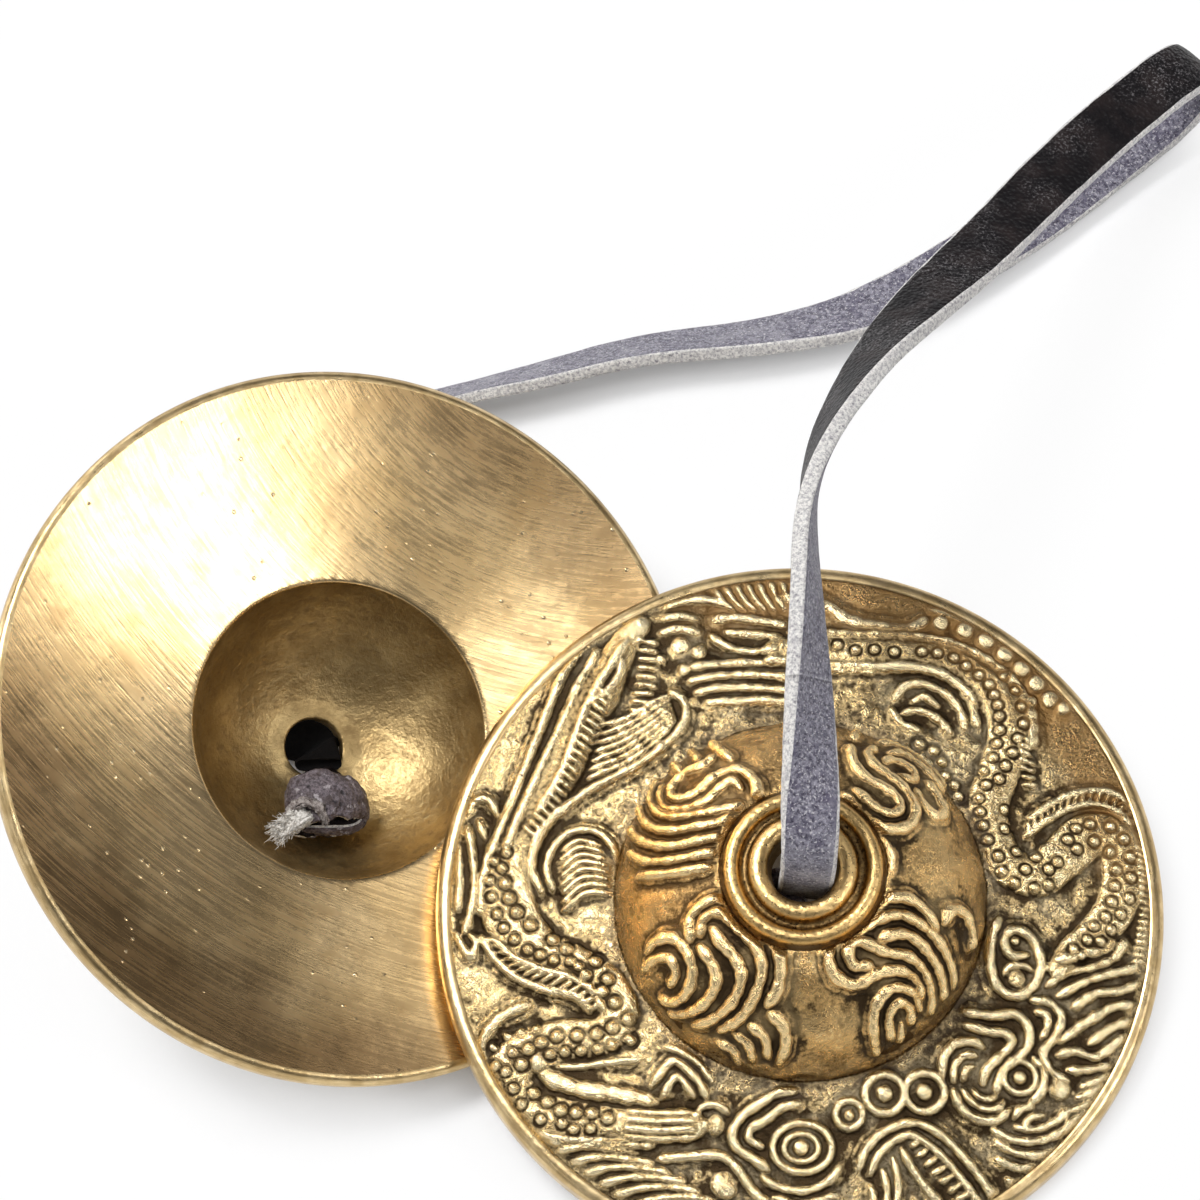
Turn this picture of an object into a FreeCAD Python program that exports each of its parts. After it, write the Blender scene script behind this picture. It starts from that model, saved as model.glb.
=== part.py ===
import FreeCAD, Part
import Sketcher
import math
import os
import sys

# A tingsha: two small cast brass cymbals on one leather strap, lying on a table.
# The left cymbal lies on its dome with the plain face up. The right one lies dome up,
# with its left edge resting on the left cymbal's face. Millimetres and degrees, +Z up,
# +X from the left cymbal's centre to the right one's, origin under the middle of both.

Vector = FreeCAD.Vector
UP = Vector(0, 0, 1)

# Driving sizes. Both cymbals are cast from one pattern, so they share every size.
# Heights on a cymbal are measured from the plane of its rim's face towards the dome.
SIZES = [
    ("rim_radius", 32.5),
    ("rim_thickness", 2.8),
    ("rim_round", 1.0),
    ("face_chamfer", 0.4),
    ("border_width", 1.3),
    ("flange_rise", 2.5),
    ("face_depth", 3.4),
    ("mouth_radius", 13.35),
    ("cavity_arc", 13.5),
    ("roof_radius", 4.3),
    ("roof_height", 12.9),
    ("hole_radius", 3.05),
    ("dome_radius", 16.5),
    ("dome_arc", 13.5),
    ("dome_top_radius", 7.3),
    ("crown_wall", 1.9),
    ("collar_rise", 0.45),
    ("ring_radius", 6.25),
    ("ring_round", 0.7),
    ("lip_width", 1.8),
    ("rim_overlap", 22.9),
    ("rest_gap", 0.3),
    ("left_lean_heading", -11.0),
    ("right_lean_heading", -37.5),
    ("strap_width", 5.7),
    ("neck_clearance", 0.329706),
    ("strap_thickness", 1.6),
    ("neck_bend_rise", 5.8),
    ("right_neck_run", 11.0),
    ("joint_gap", 0.3),
    ("table_gap", 0.15),
    ("knot_length", 4.3),
    ("knot_breadth", 2.9),
    ("knot_depth", 2.3),
    ("knot_offset", 3.0),
    ("knot_gap", 0.25),
    ("wrap_radius", 1.85),
    ("wrap_round", 0.95),
    ("tail_length", 6.4),
    ("tail_root_width", 2.6),
    ("tail_end_width", 3.6),
    ("tail_thickness", 1.5),
]

# Headings on the table, from +X: where each knot lies from its hole
LEFT_KNOT_HEADING = -63.0
RIGHT_KNOT_HEADING = -120.0
# How far each knot's tail has turned from that heading, and how far the wrap leans
LEFT_TAIL_TURN = 70.0
RIGHT_TAIL_TURN = -80.0
WRAP_LEAN = 35.0

# The strap's route from the right cymbal to the left one, between its two necks, and the
# way its suede side faces at each point. It turns over once on its way out, folds back on
# itself at the far end, and comes back low over the table to pass under the left cymbal.
STRAP_ROUTE = [
    ((15.4, 17.0, 33.0), (0.95, 0.20, 0.20)),
    ((12.4, 24.8, 32.0), (0.95, 0.29, 0.06)),
    ((10.2, 33.6, 30.0), (0.91, 0.12, -0.39)),
    ((10.2, 43.3, 28.0), (0.62, 0.08, -0.78)),
    ((12.0, 52.3, 25.0), (0.21, 0.17, -0.96)),
    ((15.3, 62.0, 21.0), (-0.07, 0.29, -0.95)),
    ((18.2, 73.0, 17.0), (-0.19, 0.36, -0.91)),
    ((21.4, 83.0, 13.6), (-0.18, 0.10, -0.98)),
    ((26.9, 94.0, 12.3), (-0.31, -0.63, -0.70)),
    ((26.9, 94.0, 2.5), (-0.31, -0.63, 0.70)),
    ((21.4, 82.5, 2.1), (0.05, -0.10, 1.00)),
    ((16.3, 73.8, 2.2), (0.10, -0.10, 0.99)),
    ((5.0, 62.5, 2.6), (0.00, 0.30, 0.95)),
    ((-4.5, 56.2, 2.8), (-0.12, 0.55, 0.82)),
    ((-15.3, 51.4, 2.9), (-0.15, 0.60, 0.78)),
    ((-23.7, 45.4, 2.9), (-0.25, 0.55, 0.80)),
    ((-30.2, 41.3, 2.8), (-0.30, 0.50, 0.80)),
    ((-36.6, 36.6, 2.5), (-0.30, 0.35, 0.88)),
    ((-41.6, 30.4, 2.1), (-0.25, 0.15, 0.95)),
    ((-44.7, 22.8, 1.6), (-0.12, 0.00, 1.00)),
    ((-45.2, 14.6, 1.2), (0.00, 0.00, 1.00)),
    ((-42.6, 7.2, 1.0), (0.00, 0.00, 1.00)),
]
LAST_RUN = 6.6

# Shares and steps from which a bent strip is drawn
ARC_RUN_SHARE = 0.45
ARC_STEP_DEG = 14.0
MIDDLE_SHARE = 0.5
FULLNESS_POWER = 0.4
CIRCLE_STEPS = 720
HALVINGS = 40
STEEPEST_REST = 45.0
ROOT_SHARE = 0.35


def make_sheet(doc):
    # The spreadsheet that drives every size
    sheet = doc.addObject("Spreadsheet::Sheet", "sizes")
    for row, (alias, value) in enumerate(SIZES, start=1):
        sheet.set("A%d" % row, alias)
        sheet.set("B%d" % row, str(value))
        sheet.setAlias("B%d" % row, alias)
    doc.recompute()
    return sheet


def outline():
    # Corners of a cymbal's section, as (radius, height) and what joins each to the next:
    # a line, a half circle, or an arc of a named radius that bulges out of the metal (+1)
    # or into it (-1). It runs up the bore, out over the dome and back along the face.
    return [
        ("hole_radius", "roof_height", None, 0),
        ("hole_radius", "roof_height + crown_wall + collar_rise", "half circle", 1),
        ("hole_radius + lip_width", "roof_height + crown_wall + collar_rise", None, 0),
        ("ring_radius - ring_round", "roof_height + crown_wall + collar_rise", "half circle", 1),
        ("ring_radius + ring_round", "roof_height + crown_wall + collar_rise", None, 0),
        ("dome_top_radius", "roof_height + crown_wall", "dome_arc", 1),
        ("dome_radius", "rim_thickness + flange_rise", None, 0),
        ("rim_radius - border_width", "rim_thickness", None, 0),
        ("rim_radius - rim_round", "rim_thickness", "rim_round", 1),
        ("rim_radius", "rim_thickness - rim_round", None, 0),
        ("rim_radius", "face_chamfer", None, 0),
        ("rim_radius - face_chamfer", "0", None, 0),
        ("mouth_radius", "face_depth", "cavity_arc", -1),
        ("roof_radius", "roof_height", None, 0),
    ]


def value_of(words, v):
    # The value of a sum of names in the sheet, such as "rim_radius - rim_round"
    total = 0.0
    sign = 1.0
    for word in words.split():
        if word in ("+", "-"):
            sign = 1.0 if word == "+" else -1.0
        elif word != "0":
            total += sign * v[word]
    return total


def with_sheet(words):
    return " ".join(w if w in ("+", "-") else "sizes." + w for w in words.split())


def arc_piece(a, b, radius, bulge):
    # The short arc between a and b. A drawn arc runs anticlockwise, so one that bulges out
    # of the metal is drawn from b to a.
    chord = b - a
    half = chord.Length / 2
    rise = math.sqrt(max(radius * radius - half * half, 0.0))
    left = Vector(-chord.y, chord.x, 0).normalize()
    centre = a + chord / 2 - left * (rise * bulge)
    first, last = (b, a) if bulge > 0 else (a, b)
    start = math.atan2(first.y - centre.y, first.x - centre.x)
    end = math.atan2(last.y - centre.y, last.x - centre.x)
    if end < start:
        end += 2 * math.pi
    return Part.ArcOfCircle(Part.Circle(centre, UP, radius), start, end)


def cymbal_body(doc, name, v):
    # One cymbal: its section drawn once and turned about the axis of its hole
    body = doc.addObject("PartDesign::Body", name)
    body.Label = name
    plane = [o for o in body.Origin.OriginFeatures if o.Role == "XZ_Plane"][0]
    sketch = body.newObject("Sketcher::SketchObject", name + "_section")
    sketch.AttachmentSupport = [(plane, "")]
    sketch.MapMode = "FlatFace"
    corners = outline()
    places = [Vector(value_of(r, v), value_of(h, v), 0) for r, h, _, _ in corners]
    ids = []
    heads = []
    for i, (_, _, arc, bulge) in enumerate(corners):
        a = places[i]
        b = places[(i + 1) % len(places)]
        if arc is None:
            ids.append(sketch.addGeometry(Part.LineSegment(a, b), False))
            heads.append((1, 2))
            continue
        radius = (b - a).Length / 2 if arc == "half circle" else v[arc]
        ids.append(sketch.addGeometry(arc_piece(a, b, radius, bulge), False))
        heads.append((2, 1) if bulge > 0 else (1, 2))
    for i in range(len(ids)):
        j = (i + 1) % len(ids)
        sketch.addConstraint(Sketcher.Constraint("Coincident", ids[i], heads[i][1], ids[j], heads[j][0]))
    for i, (radius, height, arc, _) in enumerate(corners):
        for kind, words, at in (("DistanceX", radius, places[i].x), ("DistanceY", height, places[i].y)):
            if words == "0":
                sketch.addConstraint(Sketcher.Constraint("PointOnObject", ids[i], heads[i][0], -1))
                continue
            row = sketch.addConstraint(Sketcher.Constraint(kind, -1, 1, ids[i], heads[i][0], at))
            sketch.setExpression("Constraints[%d]" % row, with_sheet(words))
        if arc == "half circle":
            row = sketch.addConstraint(Sketcher.Constraint("DistanceY", -1, 1, ids[i], 3, places[i].y))
            sketch.setExpression("Constraints[%d]" % row, with_sheet(height))
        elif arc is not None:
            row = sketch.addConstraint(Sketcher.Constraint("Radius", ids[i], v[arc]))
            sketch.setExpression("Constraints[%d]" % row, with_sheet(arc))
    turned = body.newObject("PartDesign::Revolution", name + "_cast")
    turned.Profile = sketch
    turned.ReferenceAxis = (sketch, ["V_Axis"])
    turned.Angle = 360.0
    return body


def heading(degrees):
    return Vector(math.cos(math.radians(degrees)), math.sin(math.radians(degrees)), 0)


def leaning(tilt, azimuth):
    # A unit vector that leans by tilt from +Z towards azimuth
    return heading(azimuth) * math.sin(tilt) + UP * math.cos(tilt)


def left_pose(v):
    # The left cymbal rests on the ring round its hole and on its rim, so its tilt follows
    # from the plane that touches those two rounds.
    rise = v["collar_height"] - (v["rim_thickness"] - v["rim_round"])
    run = v["rim_radius"] - v["rim_round"] - v["ring_radius"]
    tilt = math.atan2(rise, run) - math.asin((v["rim_round"] - v["ring_round"]) / math.hypot(rise, run))
    height = v["collar_height"] * math.cos(tilt) + v["ring_radius"] * math.sin(tilt) + v["ring_round"]
    return Vector(0, 0, height), leaning(tilt, v["left_lean_heading"])


def circle_points(centre, normal, radius):
    side = normal.cross(Vector(0, 1, 0)).normalize()
    other = normal.cross(side)
    turns = [2 * math.pi * i / CIRCLE_STEPS for i in range(CIRCLE_STEPS)]
    return [centre + side * (radius * math.cos(t)) + other * (radius * math.sin(t)) for t in turns]


def face_gap(v, points, centre, normal, sign):
    # Least distance of the points in front of a cymbal's hollow face
    edge = v["rim_radius"] - v["face_chamfer"]
    slope = v["face_depth"] / (edge - v["mouth_radius"])
    least = v["rim_radius"]
    for point in points:
        offset = point - centre
        high = offset.dot(normal)
        out = (offset - normal * high).Length
        if out < v["rim_radius"]:
            face = -sign * slope * max(edge - out, 0.0)
            least = min(least, sign * (high - face) * math.cos(math.atan(slope)))
    return least


def right_pose(v, left_centre, left_normal):
    # The right cymbal's low edge is on the table, and it leans just far enough to lift its
    # left edge clear of the left cymbal's face.
    spacing = v["rim_radius"] + v["rim_radius"] - v["rim_overlap"]
    edge = v["rim_radius"] - v["face_chamfer"]
    low = 0.0
    high = math.radians(STEEPEST_REST)
    for _ in range(HALVINGS):
        tilt = (low + high) / 2
        normal = leaning(tilt, v["right_lean_heading"])
        centre = Vector(left_centre.x + spacing, left_centre.y, edge * math.sin(tilt))
        over = face_gap(v, circle_points(centre, normal, edge), left_centre, left_normal, 1)
        under = face_gap(v, circle_points(left_centre, left_normal, edge), centre, normal, -1)
        if min(over, under) < v["rest_gap"]:
            low = tilt
        else:
            high = tilt
    return centre, normal


def reach(v, centre, dome_axis, way):
    # How far a cymbal reaches along a unit vector
    lip_round = v["lip_width"] / 2
    rounds = [
        (v["rim_radius"] - v["rim_round"], v["rim_thickness"] - v["rim_round"], v["rim_round"]),
        (v["rim_radius"], v["face_chamfer"], 0.0),
        (v["rim_radius"] - v["face_chamfer"], 0.0, 0.0),
        (v["ring_radius"], v["collar_height"], v["ring_round"]),
        (v["hole_radius"] + lip_round, v["collar_height"], lip_round),
    ]
    along = dome_axis.dot(way)
    across = math.sqrt(max(1 - along * along, 0.0))
    return centre.dot(way) + max(r * across + h * along + t for r, h, t in rounds)


def placed(centre, z_way, x_mark):
    # Placement that puts a piece's own +Z along z_way and its own +X towards x_mark
    z = Vector(z_way).normalize()
    x = (x_mark - z * x_mark.dot(z)).normalize()
    y = z.cross(x)
    turn = FreeCAD.Matrix(x.x, y.x, z.x, centre.x, x.y, y.y, z.y, centre.y, x.z, y.z, z.z, centre.z, 0, 0, 0, 1)
    return FreeCAD.Placement(turn)


def rounded_route(points):
    # Straight runs joined by tangent arcs. Gives the stations along them, each with its
    # place, its way forward and how far along the list of points it lies.
    stations = [(points[0], (points[1] - points[0]).normalize(), 0.0)]
    length = 0.0
    radii = []
    last = points[0]
    for i in range(1, len(points) - 1):
        before = points[i] - points[i - 1]
        after = points[i + 1] - points[i]
        way_in = Vector(before).normalize()
        way_out = Vector(after).normalize()
        turn = way_in.getAngle(way_out)
        cut = ARC_RUN_SHARE * min(before.Length, after.Length)
        radius = cut / math.tan(turn / 2)
        radii.append(radius)
        start = points[i] - way_in * cut
        inward = way_in.cross(way_out).normalize().cross(way_in)
        centre = start + inward * radius
        length += (start - last).Length + radius * turn
        stations.append(((last + start) / 2, way_in, i - MIDDLE_SHARE))
        steps = max(2, math.ceil(math.degrees(turn) / ARC_STEP_DEG))
        share_in = cut / before.Length
        share_out = cut / after.Length
        for k in range(steps + 1):
            t = turn * k / steps
            place = centre - inward * (radius * math.cos(t)) + way_in * (radius * math.sin(t))
            way = way_in * math.cos(t) + inward * math.sin(t)
            share = k / steps
            stations.append((place, way, i - share_in * (1 - share) + share_out * share))
        last = stations[-1][0]
    length += (points[-1] - last).Length
    way_out = (points[-1] - points[-2]).normalize()
    stations.append(((last + points[-1]) / 2, way_out, len(points) - 1 - MIDDLE_SHARE))
    stations.append((points[-1], way_out, float(len(points) - 1)))
    return stations, length, radii


def section(place, way, facing, width, thickness):
    # A rectangle square to the route, with its broad sides facing the given way
    up = (facing - way * facing.dot(way)).normalize()
    side = way.cross(up)
    corners = [place + side * (a * width / 2) + up * (b * thickness / 2)
               for a, b in ((1, 1), (-1, 1), (-1, -1), (1, -1))]
    return Part.makePolygon(corners + [corners[0]])


def strip(points, facings, end_width, full_width, thickness):
    # A flat strip of leather along a route, fullest in its middle
    stations, length, radii = rounded_route(points)
    total = float(len(points) - 1)
    wires = []
    for place, way, at in stations:
        i = min(int(at), len(facings) - 2)
        part = at - i
        facing = facings[i] * (1 - part) + facings[i + 1] * part
        fullness = max(math.sin(math.pi * at / total), 0.0) ** FULLNESS_POWER
        wires.append(section(place, way, facing, end_width + (full_width - end_width) * fullness, thickness))
    return Part.makeLoft(wires, True, True), length, radii


def knot_level(v):
    # Height of a knot's middle: the turn of strap round it lies just under the dome's roof
    return v["roof_height"] - v["knot_gap"] - v["wrap_radius"] - v["wrap_round"]


def knot_piece(doc, name, v, frame, neck_shape, knot_way, tail_turn):
    # One end of the strap: the neck in the hole, and the knot that bears on the dome's roof.
    # The knot is a flat lump with one turn of the strap round it and a short cut tail.
    axis = frame.Rotation.multVec(UP)
    way = (knot_way - axis * knot_way.dot(axis)).normalize()
    across = axis.cross(way)
    height = knot_level(v)
    centre = frame.Base + axis * height + way * v["knot_offset"]
    neck = doc.addObject("Part::Feature", name + "_neck")
    neck.Shape = neck_shape
    lump = doc.addObject("Part::Ellipsoid", name + "_lump")
    lump.setExpression("Radius1", "sizes.knot_depth")
    lump.setExpression("Radius2", "sizes.knot_length")
    lump.setExpression("Radius3", "sizes.knot_breadth")
    lump.Placement = placed(centre, axis, across)
    wrap = doc.addObject("Part::Torus", name + "_wrap")
    wrap.setExpression("Radius1", "sizes.wrap_radius")
    wrap.setExpression("Radius2", "sizes.wrap_round")
    lean = math.radians(WRAP_LEAN)
    wrap.Placement = placed(centre, across * math.cos(lean) + way * math.sin(lean), axis)
    turn = math.radians(tail_turn)
    tail_way = way * math.cos(turn) + across * math.sin(turn)
    root = centre - axis * (v["knot_depth"] * ROOT_SHARE)
    wires = [section(root, tail_way, axis, v["tail_root_width"], v["tail_thickness"]),
             section(root + tail_way * v["tail_length"], tail_way, axis, v["tail_end_width"], v["tail_thickness"])]
    tail = doc.addObject("Part::Feature", name + "_tail")
    tail.Shape = Part.makeLoft(wires, True, True)
    joined = doc.addObject("Part::MultiFuse", name)
    joined.Label = name
    joined.Shapes = [neck, lump, wrap, tail]
    return joined


def check_and_write(doc, kept):
    # Stops on any failed object, then writes one file for each sub-part
    for thing in doc.Objects:
        if "Invalid" in thing.State or "Error" in thing.State:
            sys.exit("failed object: " + thing.Label)
    for piece in kept:
        shape = piece.Shape
        if shape.isNull() or not shape.isValid() or shape.Volume <= 0:
            sys.exit("bad shape: " + piece.Label)
    os.makedirs("parts", exist_ok=True)
    for piece in kept:
        piece.Shape.exportStep("parts/%s.step" % piece.Label)
        print(piece.Label, "solids", len(piece.Shape.Solids), "volume", round(piece.Shape.Volume, 2))


def main():
    doc = FreeCAD.newDocument("tingsha")
    sheet = make_sheet(doc)
    v = {alias: sheet.get(alias) for alias, _ in SIZES}
    v["collar_height"] = v["roof_height"] + v["crown_wall"] + v["collar_rise"]
    # The neck is as wide as the hole lets through
    half_neck = math.sqrt((v["hole_radius"] - v["neck_clearance"]) ** 2 - (v["strap_thickness"] / 2) ** 2)
    v["neck_width"] = half_neck * 2
    left_centre, left_normal = left_pose(v)
    right_centre, right_normal = right_pose(v, left_centre, left_normal)
    # The origin goes under the middle of the two cymbals
    shift = Vector(0, 0, 0)
    for way in (Vector(1, 0, 0), Vector(0, 1, 0)):
        ends = []
        for sign in (1, -1):
            ends.append(sign * max(reach(v, left_centre, left_normal * -1, way * sign),
                                   reach(v, right_centre, right_normal, way * sign)))
        shift += way * (sum(ends) / 2)
    left_centre = left_centre - shift
    right_centre = right_centre - shift
    left = cymbal_body(doc, "left_cymbal", v)
    right = cymbal_body(doc, "right_cymbal", v)
    left.Placement = placed(left_centre, left_normal * -1, Vector(1, 0, 0))
    right.Placement = placed(right_centre, right_normal, Vector(1, 0, 0))

    # The right neck rises out of its hole and bends over. The strap twists where it ends.
    lip_top = v["collar_height"] + v["lip_width"] / 2
    knot_height = knot_level(v)
    bend = right_centre + right_normal * (lip_top + v["neck_bend_rise"])
    first = Vector(*STRAP_ROUTE[0][0])
    run_way = (first - bend).normalize()
    right_split = bend + run_way * v["right_neck_run"]
    neck_points = [right_centre + right_normal * knot_height, bend, right_split - run_way * (v["joint_gap"] / 2)]
    level = (run_way - right_normal * run_way.dot(right_normal)).normalize()
    tops = [level * -1, (right_normal - level).normalize(), (right_normal - run_way * run_way.dot(right_normal))]
    right_neck, neck_length, neck_radii = strip(neck_points, tops, v["neck_width"], v["neck_width"],
                                                v["strap_thickness"])

    # The left neck drops out of its hole to the table, where the strap bends at its end
    half = v["strap_thickness"] / 2
    uphill = heading(v["left_lean_heading"]) * -1
    drop = (left_centre.z - half - v["table_gap"]) / left_normal.z
    left_bend = left_centre - left_normal * drop
    hinge_way = UP.cross(uphill * -1)
    neck_way = left_normal * -1
    facing = hinge_way.cross(neck_way)
    wires = [section(left_centre - left_normal * h, neck_way, facing, v["neck_width"], v["strap_thickness"])
             for h in (knot_height, drop)]
    knuckle = Part.makeCylinder(half, v["neck_width"], left_bend - hinge_way * (v["neck_width"] / 2), hinge_way)
    left_neck = Part.makeLoft(wires, True, True).fuse(knuckle)

    # The strap between the two necks
    strap_end = left_bend + uphill * (half + v["joint_gap"])
    route = [right_split + run_way * (v["joint_gap"] / 2)]
    route += [Vector(*p) for p, _ in STRAP_ROUTE]
    route += [strap_end + uphill * LAST_RUN, strap_end]
    facings = [tops[2]] + [Vector(*f) for _, f in STRAP_ROUTE] + [UP, UP]
    band, length, radii = strip(route, facings, v["neck_width"], v["strap_width"], v["strap_thickness"])
    strap = doc.addObject("Part::Feature", "strap")
    strap.Label = "strap"
    strap.Shape = band
    print("strap length", round(length, 1), "radii", [round(r, 1) for r in radii])
    print("strap volume over width, thickness and length",
          round(band.Volume / (length * v["strap_width"] * v["strap_thickness"]), 3))
    print("right neck length", round(neck_length, 1), "radii", [round(r, 1) for r in neck_radii])

    left_frame = FreeCAD.Placement(left.Placement)
    right_frame = FreeCAD.Placement(right.Placement)
    left_knot = knot_piece(doc, "left_knot", v, left_frame, left_neck, heading(LEFT_KNOT_HEADING), LEFT_TAIL_TURN)
    right_knot = knot_piece(doc, "right_knot", v, right_frame, right_neck, heading(RIGHT_KNOT_HEADING),
                            RIGHT_TAIL_TURN)
    doc.recompute()
    for name, centre, normal in (("left", left_centre, left_normal), ("right", right_centre, right_normal)):
        print(name, "centre", [round(c, 3) for c in centre], "normal", [round(c, 5) for c in normal])
    print("left bend", [round(c, 3) for c in left_bend], "axis", [round(c, 5) for c in hinge_way])
    print("right twist", [round(c, 3) for c in right_split], "axis", [round(c, 5) for c in run_way])
    check_and_write(doc, [left, right, strap, left_knot, right_knot])


main()
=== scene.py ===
# A tingsha: two cast brass cymbals tied to the ends of one leather strap.
import math

import bpy
import numpy as np
from mathutils import Matrix, Vector


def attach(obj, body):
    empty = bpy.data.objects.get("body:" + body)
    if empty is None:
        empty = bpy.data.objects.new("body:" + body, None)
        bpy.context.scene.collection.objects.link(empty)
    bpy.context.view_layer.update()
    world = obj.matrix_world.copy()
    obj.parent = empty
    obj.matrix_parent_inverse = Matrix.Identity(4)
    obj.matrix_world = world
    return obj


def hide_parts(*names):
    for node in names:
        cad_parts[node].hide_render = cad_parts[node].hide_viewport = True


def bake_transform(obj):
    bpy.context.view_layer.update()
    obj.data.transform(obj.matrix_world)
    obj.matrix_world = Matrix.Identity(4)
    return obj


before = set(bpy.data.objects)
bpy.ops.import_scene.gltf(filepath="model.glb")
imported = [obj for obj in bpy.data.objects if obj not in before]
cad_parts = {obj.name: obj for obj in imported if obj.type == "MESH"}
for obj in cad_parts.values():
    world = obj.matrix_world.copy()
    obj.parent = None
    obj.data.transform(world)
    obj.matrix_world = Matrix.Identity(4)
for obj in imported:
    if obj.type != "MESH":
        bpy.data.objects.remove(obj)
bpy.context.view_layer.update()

MM = 0.001
FULL_TURN = 2 * np.pi
rng = np.random.default_rng(7)

# The camera, at the photo's viewing angle. Its place is in metres, its angle in degrees.
CAMERA_PLACE = (0.1018, -0.1552, 0.4080)
CAMERA_RIGHT = (0.9280, 0.3605, -0.0943)
CAMERA_UP = (-0.2823, 0.8454, 0.4534)
CAMERA_ANGLE = 14.0
CAMERA_NEAR = 0.01

# Each cymbal: the middle of its rim's plane, in metres, and the way its dome points
LEFT_CENTRE = (-0.022339, -0.000003, 0.017114)
LEFT_DOME_WAY = (-0.45239, 0.08794, -0.88748)
RIGHT_CENTRE = (0.019761, -0.000003, 0.004947)
RIGHT_DOME_WAY = (0.12226, -0.09381, 0.98805)


def square_to(axis, vector):
    # The unit vector nearest to the given one that is square to the axis
    return (vector - axis * vector.dot(axis)).normalized()


def frame_of(x, y, z, place):
    rows = [(x[k], y[k], z[k], place[k]) for k in range(3)]
    return Matrix((*rows, (0, 0, 0, 1)))


def cymbal_axes(centre, dome_way):
    # A cymbal's own axes: Z towards its dome, and Y as near as can be to the picture's up
    z = Vector(dome_way).normalized()
    y = square_to(z, Vector(CAMERA_UP))
    return frame_of(y.cross(z), y, z, centre)


def new_object(name, data):
    obj = bpy.data.objects.new(name, data)
    bpy.context.scene.collection.objects.link(obj)
    return obj


def set_camera():
    data = bpy.data.cameras.new("camera")
    data.sensor_fit = "HORIZONTAL"
    data.angle = math.radians(CAMERA_ANGLE)
    data.clip_start = CAMERA_NEAR
    camera = new_object("camera", data)
    right = Vector(CAMERA_RIGHT).normalized()
    up = square_to(right, Vector(CAMERA_UP))
    camera.matrix_world = frame_of(right, up, right.cross(up), CAMERA_PLACE)
    bpy.context.scene.camera = camera


def mesh_from(name, points, faces):
    # A smooth mesh from an array of points and an array of faces that all have as many corners
    mesh = bpy.data.meshes.new(name)
    points = np.asarray(points, np.float32)
    faces = np.asarray(faces, np.int32)
    mesh.vertices.add(len(points))
    mesh.vertices.foreach_set("co", points.ravel())
    mesh.loops.add(faces.size)
    mesh.loops.foreach_set("vertex_index", faces.ravel())
    mesh.polygons.add(len(faces))
    starts = np.arange(0, faces.size, faces.shape[1], dtype=np.int32)
    mesh.polygons.foreach_set("loop_start", starts)
    mesh.polygons.foreach_set("use_smooth", np.ones(len(faces), bool))
    mesh.update(calc_edges=True)
    mesh.validate()
    return mesh


def grid_faces(rows, columns, closed_rows=False):
    # Quads of a grid of points whose columns close to a ring. Its rows may close too.
    i = np.arange(rows if closed_rows else rows - 1)
    a, b = [side.ravel() for side in np.meshgrid(i, np.arange(columns), indexing="ij")]
    a2 = (a + 1) % rows
    b2 = (b + 1) % columns
    return np.c_[a * columns + b, a2 * columns + b, a2 * columns + b2, a * columns + b2]


# The strap: (point in metres, way its suede side faces), from inside the right dome to inside
# the left one. They are the CAD strap's points, some of them moved to follow the photo.
RIGHT_NECK_ROUTE = [
    ((0.021273, -0.001390, 0.014952), (0.27, -0.96, -0.12)),
    ((0.022281, -0.002263, 0.019602), (0.27, -0.96, -0.10)),
    ((0.02305, -0.00220, 0.02740), (0.25, -0.82, 0.51)),
    ((0.0193, 0.0080, 0.0299), (0.81, 0.11, 0.57)),
]
STRAP_ROUTE = [
    ((0.0159, 0.0172, 0.0330), (0.91, 0.32, 0.25)),
    ((0.0128, 0.0250, 0.0320), (0.95, 0.30, 0.08)),
    ((0.0109, 0.0336, 0.0298), (0.91, -0.04, -0.42)),
    ((0.0115, 0.0432, 0.0276), (0.67, -0.28, -0.69)),
    ((0.0132, 0.0520, 0.0246), (0.24, -0.39, -0.89)),
    ((0.0158, 0.0616, 0.0207), (-0.08, -0.33, -0.94)),
    ((0.0184, 0.0728, 0.0169), (-0.22, -0.25, -0.94)),
    ((0.0214, 0.0830, 0.0136), (-0.31, -0.08, -0.95)),
    ((0.0269, 0.0940, 0.0123), (-0.31, -0.63, -0.70)),
    ((0.0253, 0.0946, 0.0025), (-0.31, -0.63, 0.70)),
    ((0.0193, 0.0838, 0.0022), (0.16, -0.30, 0.94)),
    ((0.0144, 0.0754, 0.0024), (0.16, -0.28, 0.94)),
    ((0.0050, 0.0625, 0.0026), (0.00, 0.30, 0.95)),
    ((-0.0045, 0.0562, 0.0028), (-0.12, 0.55, 0.82)),
    ((-0.0153, 0.0514, 0.0029), (-0.30, 0.54, 0.78)),
    ((-0.0237, 0.0454, 0.0029), (-0.38, 0.55, 0.74)),
    ((-0.0302, 0.0413, 0.0028), (-0.44, 0.62, 0.65)),
    ((-0.0366, 0.0366, 0.0025), (-0.44, 0.40, 0.80)),
    ((-0.0416, 0.0304, 0.0021), (-0.25, 0.15, 0.95)),
    ((-0.0447, 0.0228, 0.0016), (-0.12, 0.00, 1.00)),
    ((-0.0452, 0.0146, 0.0012), (0.00, 0.00, 1.00)),
    ((-0.0426, 0.0072, 0.0010), (0.00, 0.00, 1.00)),
    ((-0.038137, 0.003067, 0.00095), (0.00, 0.00, 1.00)),
]
LEFT_NECK_ROUTE = [
    ((-0.028907, 0.003449, 0.000973), (-0.22, 0.05, 0.97)),
    ((-0.028237, 0.001402, 0.003133), (-0.81, 0.37, 0.45)),
    ((-0.027730, 0.000452, 0.005372), (-0.61, 0.70, 0.38)),
    ((-0.026604, -0.001011, 0.006681), (-0.08, 0.70, 0.71)),
]

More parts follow.
